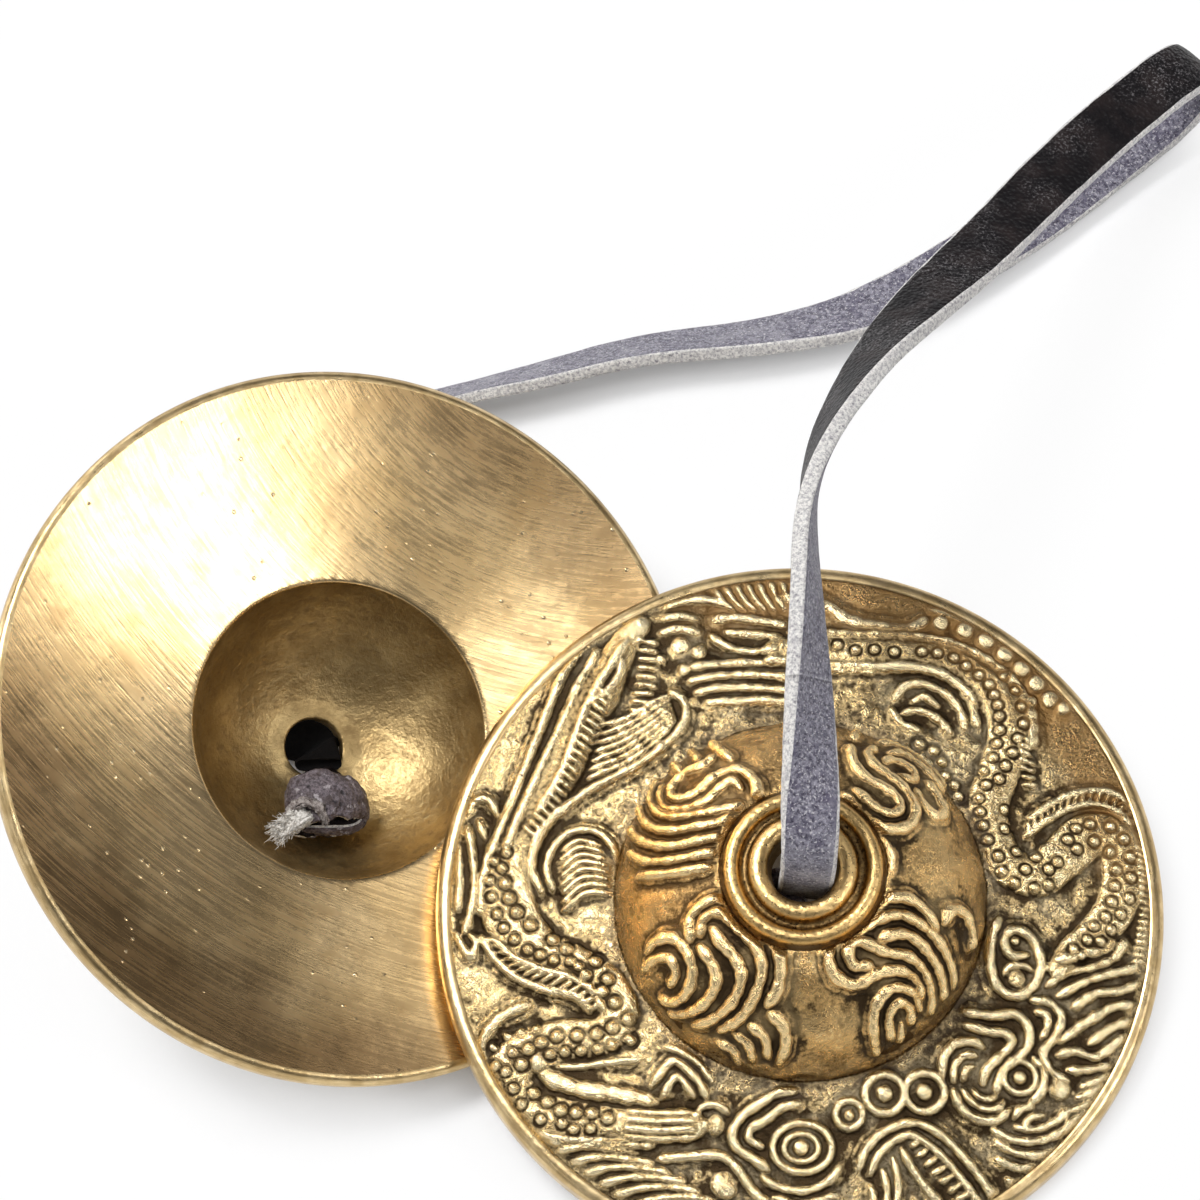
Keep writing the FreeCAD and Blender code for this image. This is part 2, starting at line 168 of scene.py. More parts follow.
# The strap's section, in millimetres, and how it changes along the strap
STRAP_WIDTH = 5.7
STRAP_THICKNESS = 1.6
RIGHT_NECK_WIDTH = 4.6
LEFT_NECK_WIDTH = 4.5
FAR_THINNER_SHARE = 0.22
FAR_NARROWER_SHARE = 0.06
STRAP_ROUGH = 0.022
SLOW_WAVE = 0.02
EDGE_CURL = 0.10
# A section's power is 0 for square corners and 1 for an ellipse
NECK_POWER = 0.6
BAND_POWER_LESS = 0.3
STRIP_SIDES = 40
STRAP_EDGE_SHARE = 0.7
FINE_REACH = 3
SLOW_REACH = 14

# Stations along the strap, in metres
JOINT_LAP = 0.0035
LACE_STEP = 0.00045
LACE_END = 0.0004
WAY_STEP = 0.0002
# Each hole squeezes the strap as far as the first of these, and then ever less over the second
RIGHT_SQUEEZE = (0.006, 0.020)
LEFT_SQUEEZE = (0.007, 0.008)
LACE_RESOLUTION = 24

# The material slots of a cut strip
SUEDE_SIDE, GRAIN_SIDE, CUT_EDGE = 0, 1, 2


def nurbs_points(points, resolution):
    # Points along a smooth NURBS line whose control points are given
    curve = bpy.data.curves.new("line", "CURVE")
    curve.dimensions = "3D"
    curve.resolution_u = resolution
    spline = curve.splines.new("NURBS")
    spline.points.add(len(points) - 1)
    for point, place in zip(spline.points, points):
        point.co = (*place, 1)
    spline.order_u = 3
    spline.use_endpoint_u = True
    obj = bpy.data.objects.new("line", curve)
    mesh = bpy.data.meshes.new_from_object(obj)
    out = np.array([v.co[:] for v in mesh.vertices])
    bpy.data.meshes.remove(mesh)
    bpy.data.objects.remove(obj)
    bpy.data.curves.remove(curve)
    return out


def along(points):
    # How far along a line each of its points lies
    return np.r_[0, np.cumsum(np.linalg.norm(np.diff(points, axis=0), axis=1))]


def at(distances, table, where):
    # The rows of a table, read at stations between its own
    return np.c_[[np.interp(where, distances, column) for column in table.T]].T


def unit(rows):
    return rows / np.maximum(np.linalg.norm(rows, axis=-1, keepdims=True), 1e-12)


def soft_noise(count, reach):
    # A smooth random value along a line, about -1 to 1
    values = rng.normal(size=count + reach * 4)
    kernel = np.hanning(reach * 2 + 1)
    out = np.convolve(values, kernel / np.sqrt((kernel ** 2).sum()), "same")
    return out[reach:reach + count]


def strip_section(width, thickness, power):
    # The section of a cut leather strip, with its corners more or less rounded
    t = (np.arange(STRIP_SIDES) + 0.5) / STRIP_SIDES * FULL_TURN
    c, s = np.cos(t), np.sin(t)
    across = np.sign(c) * np.abs(c) ** power * width / 2
    upward = np.sign(s) * np.abs(s) ** power * thickness / 2
    return np.c_[across, upward]


def strip_faces(rows):
    # The quads along a strip, and a fan at each end about one more point
    quads = grid_faces(rows, STRIP_SIDES)[:, ::-1]
    first = rows * STRIP_SIDES
    last = first + 1
    k = np.arange(STRIP_SIDES)
    k2 = (k + 1) % STRIP_SIDES
    far = (rows - 1) * STRIP_SIDES
    start_fan = np.c_[np.full_like(k, first), k, k2]
    end_fan = np.c_[np.full_like(k, last), k2 + far, k + far]
    return quads.tolist() + start_fan.tolist() + end_fan.tolist()


def strip_slots(rows, edge_share):
    # Which material each face of a strip takes
    t = (np.arange(STRIP_SIDES) + 1.0) / STRIP_SIDES * FULL_TURN
    s = np.sin(t)
    side = np.where(np.abs(s) < edge_share, CUT_EDGE, np.where(s > 0, SUEDE_SIDE, GRAIN_SIDE))
    return np.r_[np.tile(side, rows - 1), np.full(2 * STRIP_SIDES, CUT_EDGE)].astype(np.int32)


def strip_mesh(name, centres, tangents, facings, widths, thicknesses, rough, power, edge_share):
    # A strip of leather with its own section at each station, and a slightly uneven skin
    facings = unit(facings - (facings * tangents).sum(1)[:, None] * tangents)
    sides = np.cross(tangents, facings)
    rows = len(centres)
    power = np.broadcast_to(power, rows)
    wobble = np.array([soft_noise(rows, FINE_REACH) for _ in range(STRIP_SIDES)]).T
    slow = soft_noise(rows, SLOW_REACH)
    points = np.empty((rows, STRIP_SIDES, 3))
    for i in range(rows):
        section = strip_section(widths[i] * MM, thicknesses[i] * MM, power[i])
        outward = section / np.linalg.norm(section, axis=1, keepdims=True)
        shift = (wobble[i][:, None] * rough + slow[i] * SLOW_WAVE) * MM
        section = section + outward * shift
        # The edges curl a little towards the suede side
        curl = (section[:, :1] / (widths[i] * MM / 2)) ** 2 * EDGE_CURL * MM
        points[i] = centres[i] + section[:, :1] * sides[i] + (section[:, 1:] + curl) * facings[i]
    flat = np.vstack([points.reshape(-1, 3), points[0].mean(0), points[-1].mean(0)])
    mesh = bpy.data.meshes.new(name)
    mesh.from_pydata(flat.tolist(), [], strip_faces(rows))
    mesh.polygons.foreach_set("material_index", strip_slots(rows, edge_share))
    mesh.polygons.foreach_set("use_smooth", np.ones(len(mesh.polygons), bool))
    mesh.update()
    return mesh


def share_along(where, start, length):
    return np.clip((where - start) / length, 0, 1)


set_camera()
left_axes = cymbal_axes(LEFT_CENTRE, LEFT_DOME_WAY)
right_axes = cymbal_axes(RIGHT_CENTRE, RIGHT_DOME_WAY)

lace = RIGHT_NECK_ROUTE + STRAP_ROUTE + LEFT_NECK_ROUTE
line = nurbs_points([p for p, _ in lace], LACE_RESOLUTION)
facing_line = nurbs_points([f for _, f in lace], LACE_RESOLUTION)
run = along(line)


def nearest(route_row):
    # The station of the line that lies nearest to a row of the route
    return run[np.argmin(np.linalg.norm(line - np.array(route_row[0]), axis=1))]


# The strap proper lies between these two stations. The necks lap the joints at its ends.
band_start = nearest(RIGHT_NECK_ROUTE[-1]) + JOINT_LAP
band_end = nearest(LEFT_NECK_ROUTE[0]) - JOINT_LAP
# The hide grows a little thinner between these two
thin_start = nearest(STRAP_ROUTE[12])
thin_end = nearest(STRAP_ROUTE[16])


def lace_part(name, start, end):
    where = np.linspace(start, end, int((end - start) / LACE_STEP) + 1)
    centres = at(run, line, where)
    tangents = unit(at(run, line, where + WAY_STEP) - at(run, line, where - WAY_STEP))
    facings = at(run, facing_line, where)
    # The holes squeeze the strap narrower, and its edges round
    from_right = share_along(where, *RIGHT_SQUEEZE)
    from_left = share_along(run[-1] - where, *LEFT_SQUEEZE)
    widths = RIGHT_NECK_WIDTH + (STRAP_WIDTH - RIGHT_NECK_WIDTH) * from_right
    widths = LEFT_NECK_WIDTH + (widths - LEFT_NECK_WIDTH) * from_left
    power = NECK_POWER - BAND_POWER_LESS * np.minimum(from_right, from_left)
    far = share_along(where, thin_start, thin_end - thin_start)
    widths = widths * (1 - FAR_NARROWER_SHARE * far)
    thicknesses = STRAP_THICKNESS * (1 - FAR_THINNER_SHARE * far)
    mesh = strip_mesh(name, centres, tangents, facings, widths, thicknesses,
                      STRAP_ROUGH, power, STRAP_EDGE_SHARE)
    return new_object(name, mesh), centres


band, band_path = lace_part("strap_band", band_start, band_end)
right_neck, _ = lace_part("right_neck", LACE_END, band_start)
left_neck, _ = lace_part("left_neck", band_end, run[-1] - LACE_END)

# The cast relief on a cymbal's outer side, in millimetres, as seen from above the dome.
# +X is to the right and +Y up when the strap leaves upward. On the flange a point's
# distance from the middle is its radius. On the dome it is measured along the surface.

# Two serpent-bodied dragons, each a row of (x, y, half width)
LEFT_BODY = [
    (-14.5, 26.3, 1.3), (-16.2, 23.5, 1.7), (-18.3, 19.0, 2.1), (-20.5, 14.5, 2.3), (-22.6, 10.5, 2.4),
    (-24.7, 6.5, 2.5), (-26.0, 2.5, 2.6), (-25.8, -1.0, 2.6), (-23.8, -4.2, 2.5), (-20.5, -6.2, 2.4),
    (-17.6, -8.0, 2.2), (-16.2, -10.3, 2.0), (-17.6, -12.2, 1.9), (-21.0, -12.6, 2.0),
    (-24.6, -13.8, 2.3), (-25.7, -16.3, 2.3), (-23.6, -18.6, 2.2), (-20.2, -19.6, 2.0),
    (-16.5, -20.0, 1.7), (-12.5, -20.2, 1.5), (-9.5, -20.2, 1.4),
]
RIGHT_BODY = [
    (-2.0, 23.5, 1.5), (1.5, 23.6, 1.7), (5.0, 23.4, 1.8), (9.0, 23.2, 1.9), (13.0, 22.7, 2.0),
    (16.2, 20.9, 2.2), (18.7, 18.0, 2.3), (19.0, 15.0, 2.2), (17.9, 12.0, 2.0), (16.9, 9.0, 1.9),
    (17.1, 6.0, 1.9), (18.4, 3.4, 2.0), (21.0, 2.4, 2.0), (23.3, 4.2, 2.1), (25.6, 6.3, 2.3),
    (28.0, 6.3, 2.3), (29.0, 3.6, 2.2), (28.3, 0.4, 2.0), (26.6, -2.2, 1.8), (24.0, -4.4, 1.4),
    (22.3, -6.0, 0.9),
]

# Round scales standing on the bodies
BIG_SCALES = [
    (-25.0, -0.9), (-23.8, -2.1), (-21.8, -3.5), (-20.6, -4.4), (-18.0, -5.6), (-18.9, -6.9),
    (-16.9, -7.3), (-16.3, -9.4), (-17.4, -8.4), (-16.5, -11.6), (-17.9, -12.1), (-19.6, -12.2),
    (-21.4, -12.2), (-22.8, -12.7), (-23.9, -13.3), (-24.5, -14.6), (-15.0, -12.7), (-23.4, -17.1),
    (-22.2, -17.9), (-21.0, -18.7), (-19.7, -18.9), (-18.3, -19.0), (-16.9, -19.5), (-15.1, -10.9),
    (-25.7, 0.4), (-26.1, 1.8), (10.8, 14.6), (12.1, 14.0), (12.8, 12.9), (13.1, 11.6), (13.9, 10.7),
    (14.2, 9.6),
]
SCALES = [
    (-26.8, -1.0), (-26.2, -2.3), (-25.2, -3.4), (-24.0, -4.4), (-22.9, -4.9), (-21.7, -5.4),
    (-20.2, -5.6), (-19.5, -6.1), (-16.5, -13.2), (-17.8, -13.5), (-19.3, -13.6), (-20.7, -13.6),
    (-22.0, -13.8), (-27.1, -12.9), (-26.0, -11.9), (-25.3, -13.5), (-25.9, -15.2), (-25.2, -16.7),
    (-26.9, -14.6), (-26.6, -16.3), (-24.5, -18.1), (-22.8, -19.5), (-20.9, -19.9), (-19.9, -20.4),
    (-18.4, -20.4), (-24.7, -11.6), (-23.3, -11.4), (-26.4, 3.2), (-26.0, 4.6), (-27.3, 0.6),
    (-27.5, 2.1), (-27.1, 3.9), (3.6, 24.0), (5.2, 23.5), (6.9, 23.6), (8.7, 23.4), (11.2, 23.5),
    (14.1, 23.0), (15.2, 22.2), (16.3, 21.3), (17.2, 20.4), (17.6, 19.4), (17.9, 18.4), (18.0, 17.3),
    (18.0, 16.0), (17.7, 14.7), (17.3, 13.3), (16.4, 12.0), (16.6, 10.6), (15.9, 9.3), (16.0, 8.0),
    (16.2, 6.7), (16.6, 5.4), (17.5, 3.9), (17.8, 2.5), (18.9, 1.5), (20.7, 1.1), (22.0, 1.5),
    (12.6, 23.4), (1.8, 23.9), (0.0, 23.8), (18.6, 21.5), (19.6, 20.1), (20.1, 18.4), (20.2, 16.7),
    (19.6, 15.2), (19.1, 13.8), (18.4, 12.5), (17.8, 11.2), (18.3, 8.4), (18.2, 6.6), (19.2, 4.5),
    (20.9, 4.1), (22.8, 3.6), (23.8, 5.8), (24.6, 6.9), (26.2, 5.7), (25.9, 7.4), (27.7, 7.2),
    (28.9, 6.1), (27.6, 4.8), (29.4, 4.4), (28.1, 3.2), (29.4, 2.5), (27.9, 1.7), (29.2, 0.6),
    (27.6, 0.2), (28.4, -0.9), (27.0, -1.2), (25.9, -2.1), (27.5, -2.4), (25.3, -3.4), (26.5, -3.5),
    (24.0, -4.3), (24.8, -4.9), (22.0, 2.9), (19.9, 2.8), (24.6, 4.9),
]

# Smooth knobs: (x, y, radius, height)
KNOBS = [
    (7.2, -17.5, 0.75, 0.6), (10.7, -17.3, 0.75, 0.6), (4.1, -19.4, 0.5, 0.5), (19.1, -15.8, 0.65, 0.7),
    (-0.1, -22.2, 0.75, 0.6), (22.5, -16.6, 1.1, 0.5), (19.0, -7.1, 0.9, 0.5), (18.9, -3.7, 0.45, 0.5),
    (-6.8, -25.4, 1.3, 0.6), (13.0, 26.6, 0.8, 0.6), (15.2, 25.9, 0.9, 0.6), (17.1, 25.0, 0.9, 0.6),
    (18.8, 23.7, 0.9, 0.6), (20.3, 22.3, 0.9, 0.6), (21.6, 20.9, 0.9, 0.6), (22.7, 19.4, 0.9, 0.6),
    (21.0, 19.0, 0.7, 0.5), (23.9, 18.6, 0.7, 0.5), (-7.6, -20.2, 1.0, 0.4), (-12.4, 23.0, 0.5, 0.4),
    (-10.6, 24.4, 0.9, 0.4), (-8.9, 23.6, 0.7, 0.4), (-10.2, 21.9, 0.6, 0.4), (-9.4, 18.6, 0.6, 0.3),
    (-1.6, -29.2, 0.7, 0.5), (2.2, -27.6, 0.8, 0.5),
]

# Ridges on the flange: (half width, height, points)
RIDGES = [
    (0.38, 0.55, [(-28.3, -2.8), (-27.0, -4.9), (-24.8, -6.9), (-22.0, -8.1), (-19.6, -8.9),
                  (-18.3, -10.4)]),
    (0.30, 0.50, [(-26.9, -3.4), (-25.3, -5.0), (-22.8, -6.2), (-20.0, -7.1), (-18.2, -8.3),
                  (-17.3, -10.0)]),
    (0.45, 0.55, [(-24.0, -9.2), (-26.6, -10.4), (-28.2, -12.8), (-27.9, -15.4), (-26.4, -17.7),
                  (-24.4, -20.1), (-21.5, -21.3), (-17.0, -21.7), (-12.8, -21.9)]),
    (0.75, 0.55, [(-23.3, -14.2), (-21.8, -15.9), (-19.2, -16.9), (-16.0, -17.5), (-12.8, -18.3)]),
    (0.30, 0.35, [(-22.9, -14.6), (-20.0, -14.9), (-17.0, -14.6), (-14.4, -14.4)]),
    (0.40, 0.50, [(-13.2, -16.9), (-12.3, -15.6), (-11.2, -14.6), (-10.0, -15.4), (-8.9, -16.6),
                  (-8.3, -18.0)]),
    (0.35, 0.50, [(-12.2, -17.9), (-11.6, -16.7), (-10.9, -16.0), (-10.1, -16.7), (-9.4, -17.8)]),
    (0.30, 0.45, [(-11.9, -13.4), (-10.4, -13.9), (-8.9, -15.0), (-7.8, -16.5)]),
    (0.42, 0.50, [(-12.6, -23.1), (-9.8, -22.9), (-7.4, -22.8), (-6.1, -23.5), (-5.1, -24.8),
                  (-4.0, -26.2), (-2.6, -27.2)]),
    (0.45, 0.60, [(-0.6, -17.4), (-2.2, -17.6), (-3.8, -18.5), (-5.3, -19.6), (-6.1, -21.0),
                  (-5.6, -22.3), (-4.3, -23.1), (-2.9, -24.2)]),
    (0.42, 0.55, [(-0.2, -18.4), (-1.7, -18.7), (-3.0, -19.7), (-4.4, -20.5), (-4.6, -21.4),
                  (-3.4, -22.2)]),
    (0.35, 0.50, [(-9.3, -19.4), (-8.6, -18.6), (-7.3, -18.5), (-6.4, -19.3)]),
    (0.35, 0.50, [(-3.6, -24.6), (-2.0, -25.6), (0.3, -25.9), (2.3, -25.0), (3.4, -23.6)]),
    (0.40, 0.55, [(4.9, -24.0), (5.6, -22.3), (7.0, -20.9), (9.2, -20.0), (11.2, -20.4), (13.3, -22.0),
                  (15.5, -24.6), (17.0, -26.8)]),
    (0.35, 0.50, [(5.9, -24.4), (6.6, -22.8), (7.9, -21.6), (9.3, -21.0), (10.6, -21.5), (12.5, -23.1),
                  (14.5, -25.5), (16.0, -27.4)]),
    (0.35, 0.50, [(8.6, -22.1), (9.7, -24.1), (11.4, -26.2), (13.4, -28.2)]),
    (0.33, 0.45, [(7.9, -22.9), (8.3, -25.0), (8.1, -27.4), (7.2, -29.4)]),
    (0.33, 0.45, [(7.0, -24.0), (7.4, -26.0), (6.9, -28.2)]),
    (0.33, 0.45, [(6.0, -25.4), (6.2, -27.2), (5.6, -29.4)]),
    (0.45, 0.65, [(14.3, -10.2), (16.7, -10.5), (18.7, -10.2), (19.9, -11.3), (19.9, -13.0),
                  (18.9, -14.1), (17.5, -15.4), (17.0, -17.1)]),
    (0.45, 0.65, [(14.4, -11.4), (16.2, -11.8), (17.9, -12.0), (18.4, -12.9), (17.3, -14.1),
                  (16.2, -15.3), (15.8, -16.5)]),
    (0.42, 0.60, [(20.2, -13.9), (21.2, -15.2), (21.0, -16.9), (19.9, -18.1)]),
    (0.42, 0.60, [(12.3, -16.2), (12.4, -14.4), (13.4, -13.1), (15.0, -12.8), (16.0, -13.3)]),
    (0.35, 0.55, [(13.2, -16.4), (13.4, -14.9), (14.3, -14.0), (15.4, -14.0)]),
    (0.30, 0.50, [(14.0, -16.2), (14.4, -15.2), (15.2, -14.9)]),
    (0.42, 0.60, [(13.2, -17.0), (13.8, -18.4), (15.1, -19.4), (16.9, -19.6), (18.2, -18.6)]),
    (0.35, 0.55, [(14.1, -17.0), (14.6, -17.9), (15.7, -18.6), (17.0, -18.6), (17.7, -17.9)]),
    (0.30, 0.50, [(15.0, -17.0), (15.5, -17.6), (16.4, -17.8), (17.1, -17.4)]),
    (0.33, 0.45, [(18.4, -19.5), (19.2, -18.6), (20.4, -18.3)]),
    (0.33, 0.45, [(19.2, -20.2), (20.0, -19.3), (21.2, -19.0)]),
    (0.40, 0.50, [(16.5, -20.3), (18.3, -21.2), (20.6, -21.3), (22.9, -20.3), (24.4, -18.9)]),
    (0.38, 0.45, [(16.8, -21.4), (18.8, -22.4), (21.2, -22.4), (23.4, -21.4)]),
    (0.38, 0.45, [(18.5, -20.1), (20.4, -20.3), (22.2, -19.6), (23.5, -18.4)]),
    (0.35, 0.40, [(17.0, -22.9), (18.8, -23.6), (20.8, -23.5)]),
    (0.42, 0.55, [(20.2, -8.9), (21.8, -9.1), (22.9, -10.4), (22.2, -12.2), (21.2, -13.6),
                  (21.9, -15.2), (23.4, -16.0)]),
    (0.38, 0.50, [(20.6, -9.9), (21.6, -10.2), (21.6, -11.4), (20.9, -12.5)]),
    (0.45, 0.55, [(22.5, -5.3), (24.6, -4.9), (26.5, -4.4), (28.0, -3.4)]),
    (0.45, 0.55, [(21.6, -7.6), (23.3, -6.4), (25.6, -5.8), (27.6, -4.9), (28.8, -3.2)]),
    (0.42, 0.52, [(22.6, -8.5), (25.0, -7.1), (27.2, -6.3), (28.7, -5.9), (29.7, -5.4)]),
    (0.42, 0.52, [(23.9, -9.5), (26.0, -8.1), (28.1, -7.8), (29.8, -7.0)]),
    (0.40, 0.50, [(25.3, -10.8), (27.4, -9.3), (29.3, -8.9)]),
    (0.40, 0.50, [(22.5, -12.7), (24.1, -11.4), (25.6, -10.4), (26.4, -9.6)]),
    (0.40, 0.50, [(25.3, -12.7), (27.1, -11.3), (29.0, -10.3)]),
    (0.40, 0.50, [(22.3, -13.8), (24.0, -13.3), (25.8, -13.8), (27.5, -12.6), (28.8, -11.6)]),
    (0.35, 0.45, [(23.2, -15.0), (25.2, -14.9), (27.2, -14.4)]),
    (0.45, 0.60, [(17.6, -1.6), (16.8, -3.6), (16.7, -5.8), (17.2, -7.7), (18.7, -8.6), (20.3, -7.8),
                  (21.2, -6.0), (20.8, -4.1), (19.8, -2.9), (18.5, -2.8), (17.9, -3.9), (18.6, -5.0),
                  (20.1, -4.9)]),
    (0.32, 0.50, [(17.8, -6.9), (18.4, -6.0), (19.7, -5.9), (20.5, -6.4)]),
    (0.33, 0.55, [(20.2, 6.1), (22.0, 7.6), (24.0, 8.8), (26.2, 9.4), (28.2, 8.9), (29.8, 7.5)]),
    (0.33, 0.55, [(20.5, 7.7), (22.6, 9.3), (24.9, 10.4), (27.1, 10.7), (29.1, 10.0), (30.6, 8.2)]),
    (0.45, 0.45, [(12.3, 28.0), (14.5, 27.4), (17.5, 26.2), (20.5, 24.0), (23.0, 21.2), (24.8, 18.4)]),
    (0.55, 0.40, [(-1.5, 29.2), (2.5, 28.3), (4.5, 26.9), (7.5, 26.1), (10.3, 26.0), (11.7, 27.0)]),
    (0.45, 0.50, [(-1.0, 25.4), (5.0, 25.3), (10.5, 25.2), (14.2, 24.5), (17.4, 22.9), (19.9, 20.4),
                  (21.1, 17.5), (21.0, 14.5)]),
    (0.50, 0.50, [(1.5, 21.8), (6.0, 21.7), (10.0, 21.8), (13.2, 21.0), (15.3, 19.0), (16.0, 16.5)]),
    (0.42, 0.50, [(8.7, 19.0), (9.6, 20.2), (11.4, 20.4), (13.4, 19.4), (14.6, 17.8), (14.9, 16.2)]),
    (0.35, 0.50, [(10.2, 18.6), (11.3, 19.1), (12.6, 18.2)]),
    (0.35, 0.50, [(9.2, 17.4), (10.8, 17.8), (12.6, 16.9), (13.6, 15.7)]),
    (0.35, 0.45, [(8.3, 17.9), (9.2, 16.5), (10.8, 15.9)]),
    (0.30, 0.40, [(14.5, 8.4), (14.9, 6.4), (15.6, 4.4), (16.3, 2.6)]),
    (0.30, 0.40, [(15.0, 5.0), (15.9, 2.8), (16.7, 1.0)]),
    (0.45, 0.50, [(-9.8, 22.0), (-7.0, 22.3), (-4.0, 22.4), (-0.5, 22.2)]),
    (0.45, 0.50, [(-9.9, 20.7), (-7.0, 21.1), (-4.0, 21.2), (-0.5, 20.9)]),
    (0.45, 0.50, [(-9.3, 19.5), (-7.0, 19.9), (-4.0, 19.9), (-0.5, 19.6)]),
    (0.42, 0.45, [(-8.4, 18.5), (-6.0, 18.6), (-3.5, 18.7), (-0.5, 18.5)]),
    (0.42, 0.50, [(-12.2, 27.0), (-10.6, 27.2), (-9.2, 27.0)]),
    (0.45, 0.50, [(-12.3, 25.7), (-10.6, 25.9), (-8.9, 25.6)]),
    (0.40, 0.45, [(-12.0, 28.4), (-10.0, 28.8), (-7.8, 28.8), (-6.0, 28.2)]),
    (0.45, 0.50, [(-7.6, 26.9), (-5.6, 27.0), (-3.6, 26.7), (-1.2, 26.3)]),
    (0.40, 0.45, [(-6.6, 25.6), (-4.0, 25.3), (-1.2, 25.0)]),
    (0.38, 0.45, [(-7.9, 25.3), (-6.3, 24.1), (-4.0, 23.5), (-2.0, 23.6)]),
    (0.38, 0.50, [(-15.3, 24.7), (-17.0, 21.9), (-18.9, 18.3), (-20.1, 14.8), (-21.4, 11.4),
                  (-23.2, 8.3)]),
    (0.42, 0.50, [(-19.4, 25.2), (-21.3, 21.5), (-23.0, 17.0), (-24.6, 12.5), (-26.2, 8.5),
                  (-27.6, 4.8), (-28.4, 1.6), (-28.5, -0.9)]),
    (0.38, 0.50, [(-18.0, 24.2), (-20.0, 20.3), (-21.8, 15.8), (-23.6, 11.4), (-25.2, 7.4), (-26.2, 4.5)]),
    (0.33, 0.45, [(-15.9, 23.0), (-17.7, 21.0), (-18.6, 18.8), (-17.2, 19.6), (-16.0, 21.4),
                  (-15.7, 22.8)]),
    (0.38, 0.50, [(-11.6, 19.7), (-10.3, 18.7), (-10.2, 16.8), (-11.6, 14.8), (-14.6, 12.5),
                  (-18.6, 10.4), (-21.0, 8.6), (-23.0, 6.2), (-23.7, 3.4), (-23.0, 1.0)]),
    (0.35, 0.50, [(-21.9, 1.2), (-22.5, 3.2), (-21.7, 5.3), (-20.0, 6.5), (-18.0, 6.3), (-16.6, 4.9),
                  (-16.0, 3.0)]),
    (0.35, 0.45, [(-30.2, 8.4), (-29.1, 9.8), (-27.7, 9.8), (-26.9, 8.2)]),
    (0.35, 0.50, [(-29.6, 7.4), (-29.1, 4.6), (-28.9, 1.8), (-29.3, -0.9), (-29.9, -2.6)]),
    (0.33, 0.45, [(-28.7, 8.0), (-28.0, 6.2)]),
    (0.35, 0.45, [(-30.6, 5.6), (-30.3, 2.6), (-30.4, -0.4)]),
    (0.33, 0.45, [(-30.6, -2.4), (-30.0, -3.6), (-29.2, -4.6), (-28.7, -3.4), (-29.4, -2.6)]),
]

# Bundles of hair, manes and claws: (how many, half width, height, first line, last line)
STRANDS = [
    (4, 0.33, 0.48, [(-15.2, -18.8), (-12.5, -19.0), (-9.5, -19.0)],
     [(-15.4, -21.2), (-12.5, -21.5), (-9.3, -21.4)]),
    (9, 0.38, 0.48, [(-21.4, -22.2), (-19.2, -21.9), (-16.6, -22.2), (-14.2, -22.6)],
     [(-11.0, -30.0), (-8.6, -29.2), (-5.8, -28.9), (-3.4, -29.3)]),
    (4, 0.35, 0.45, [(-2.6, -26.4), (0.0, -27.0), (3.0, -26.2)],
     [(-3.0, -30.4), (0.5, -30.8), (4.2, -30.2)]),
    (6, 0.35, 0.42, [(17.8, -24.6), (19.0, -25.4), (19.6, -26.6)],
     [(10.0, -27.8), (9.4, -29.2), (8.4, -30.4)]),
    (7, 0.30, 0.48, [(-17.8, 16.4), (-15.2, 17.3), (-12.9, 18.7), (-11.6, 19.3)],
     [(-19.0, 11.4), (-15.6, 12.8), (-12.6, 14.9), (-10.9, 17.0)]),
    (8, 0.28, 0.45, [(-21.2, 4.6), (-19.6, 5.6), (-17.6, 5.0)],
     [(-21.0, -0.8), (-19.0, 0.6), (-16.6, 0.6)]),
    (8, 0.30, 0.42, [(-7.6, 30.2), (-6.6, 28.6), (-5.4, 27.6)],
     [(-0.4, 31.0), (0.0, 29.4), (0.6, 28.0)]),
    (4, 0.30, 0.40, [(24.6, -16.4), (26.0, -15.8), (27.0, -15.2)],
     [(22.8, -19.8), (24.6, -18.9), (25.6, -17.8)]),
]

# Ribs across a band: (how many, half width, height, one edge, other edge)
RIBS = [
    (15, 0.26, 0.50, [(-28.2, -3.0), (-25.9, -6.0), (-22.0, -8.0), (-18.5, -10.0)],
     [(-26.8, -3.5), (-24.4, -5.5), (-21.2, -6.7), (-17.6, -9.4)]),
    (16, 0.26, 0.50, [(20.4, 7.4), (23.6, 9.7), (27.1, 10.6), (30.2, 8.6)],
     [(20.4, 6.3), (23.8, 8.7), (26.6, 9.3), (29.6, 7.6)]),
    (9, 0.28, 0.50, [(-14.3, 24.8), (-14.6, 21.2), (-15.1, 18.0)],
     [(-12.7, 24.6), (-12.8, 21.1), (-13.4, 17.8)]),
    (20, 0.28, 0.50, [(-17.8, 19.8), (-19.4, 15.8), (-21.6, 11.4), (-24.4, 6.9)],
     [(-16.7, 19.1), (-18.2, 15.1), (-20.4, 10.6), (-23.3, 5.9)]),
    (8, 0.28, 0.45, [(9.4, -22.0), (11.8, -24.8), (14.2, -27.2)],
     [(10.2, -21.6), (12.8, -24.0), (15.4, -26.6)]),
    (7, 0.26, 0.40, [(19.4, 15.6), (20.0, 11.0)],
     [(20.8, 15.0), (21.2, 11.0)]),
    (18, 0.24, 0.35, [(29.7, 5.4), (30.2, 0.4), (29.5, -5.0)],
     [(31.0, 5.4), (31.2, 0.4), (30.6, -5.0)]),
    (22, 0.20, 0.30, [(-30.1, 9.4), (-30.8, 5.0), (-31.0, 1.0), (-30.7, -3.0)],
     [(-30.6, 10.2), (-31.3, 5.6), (-31.6, 1.2), (-31.3, -3.0)]),
]

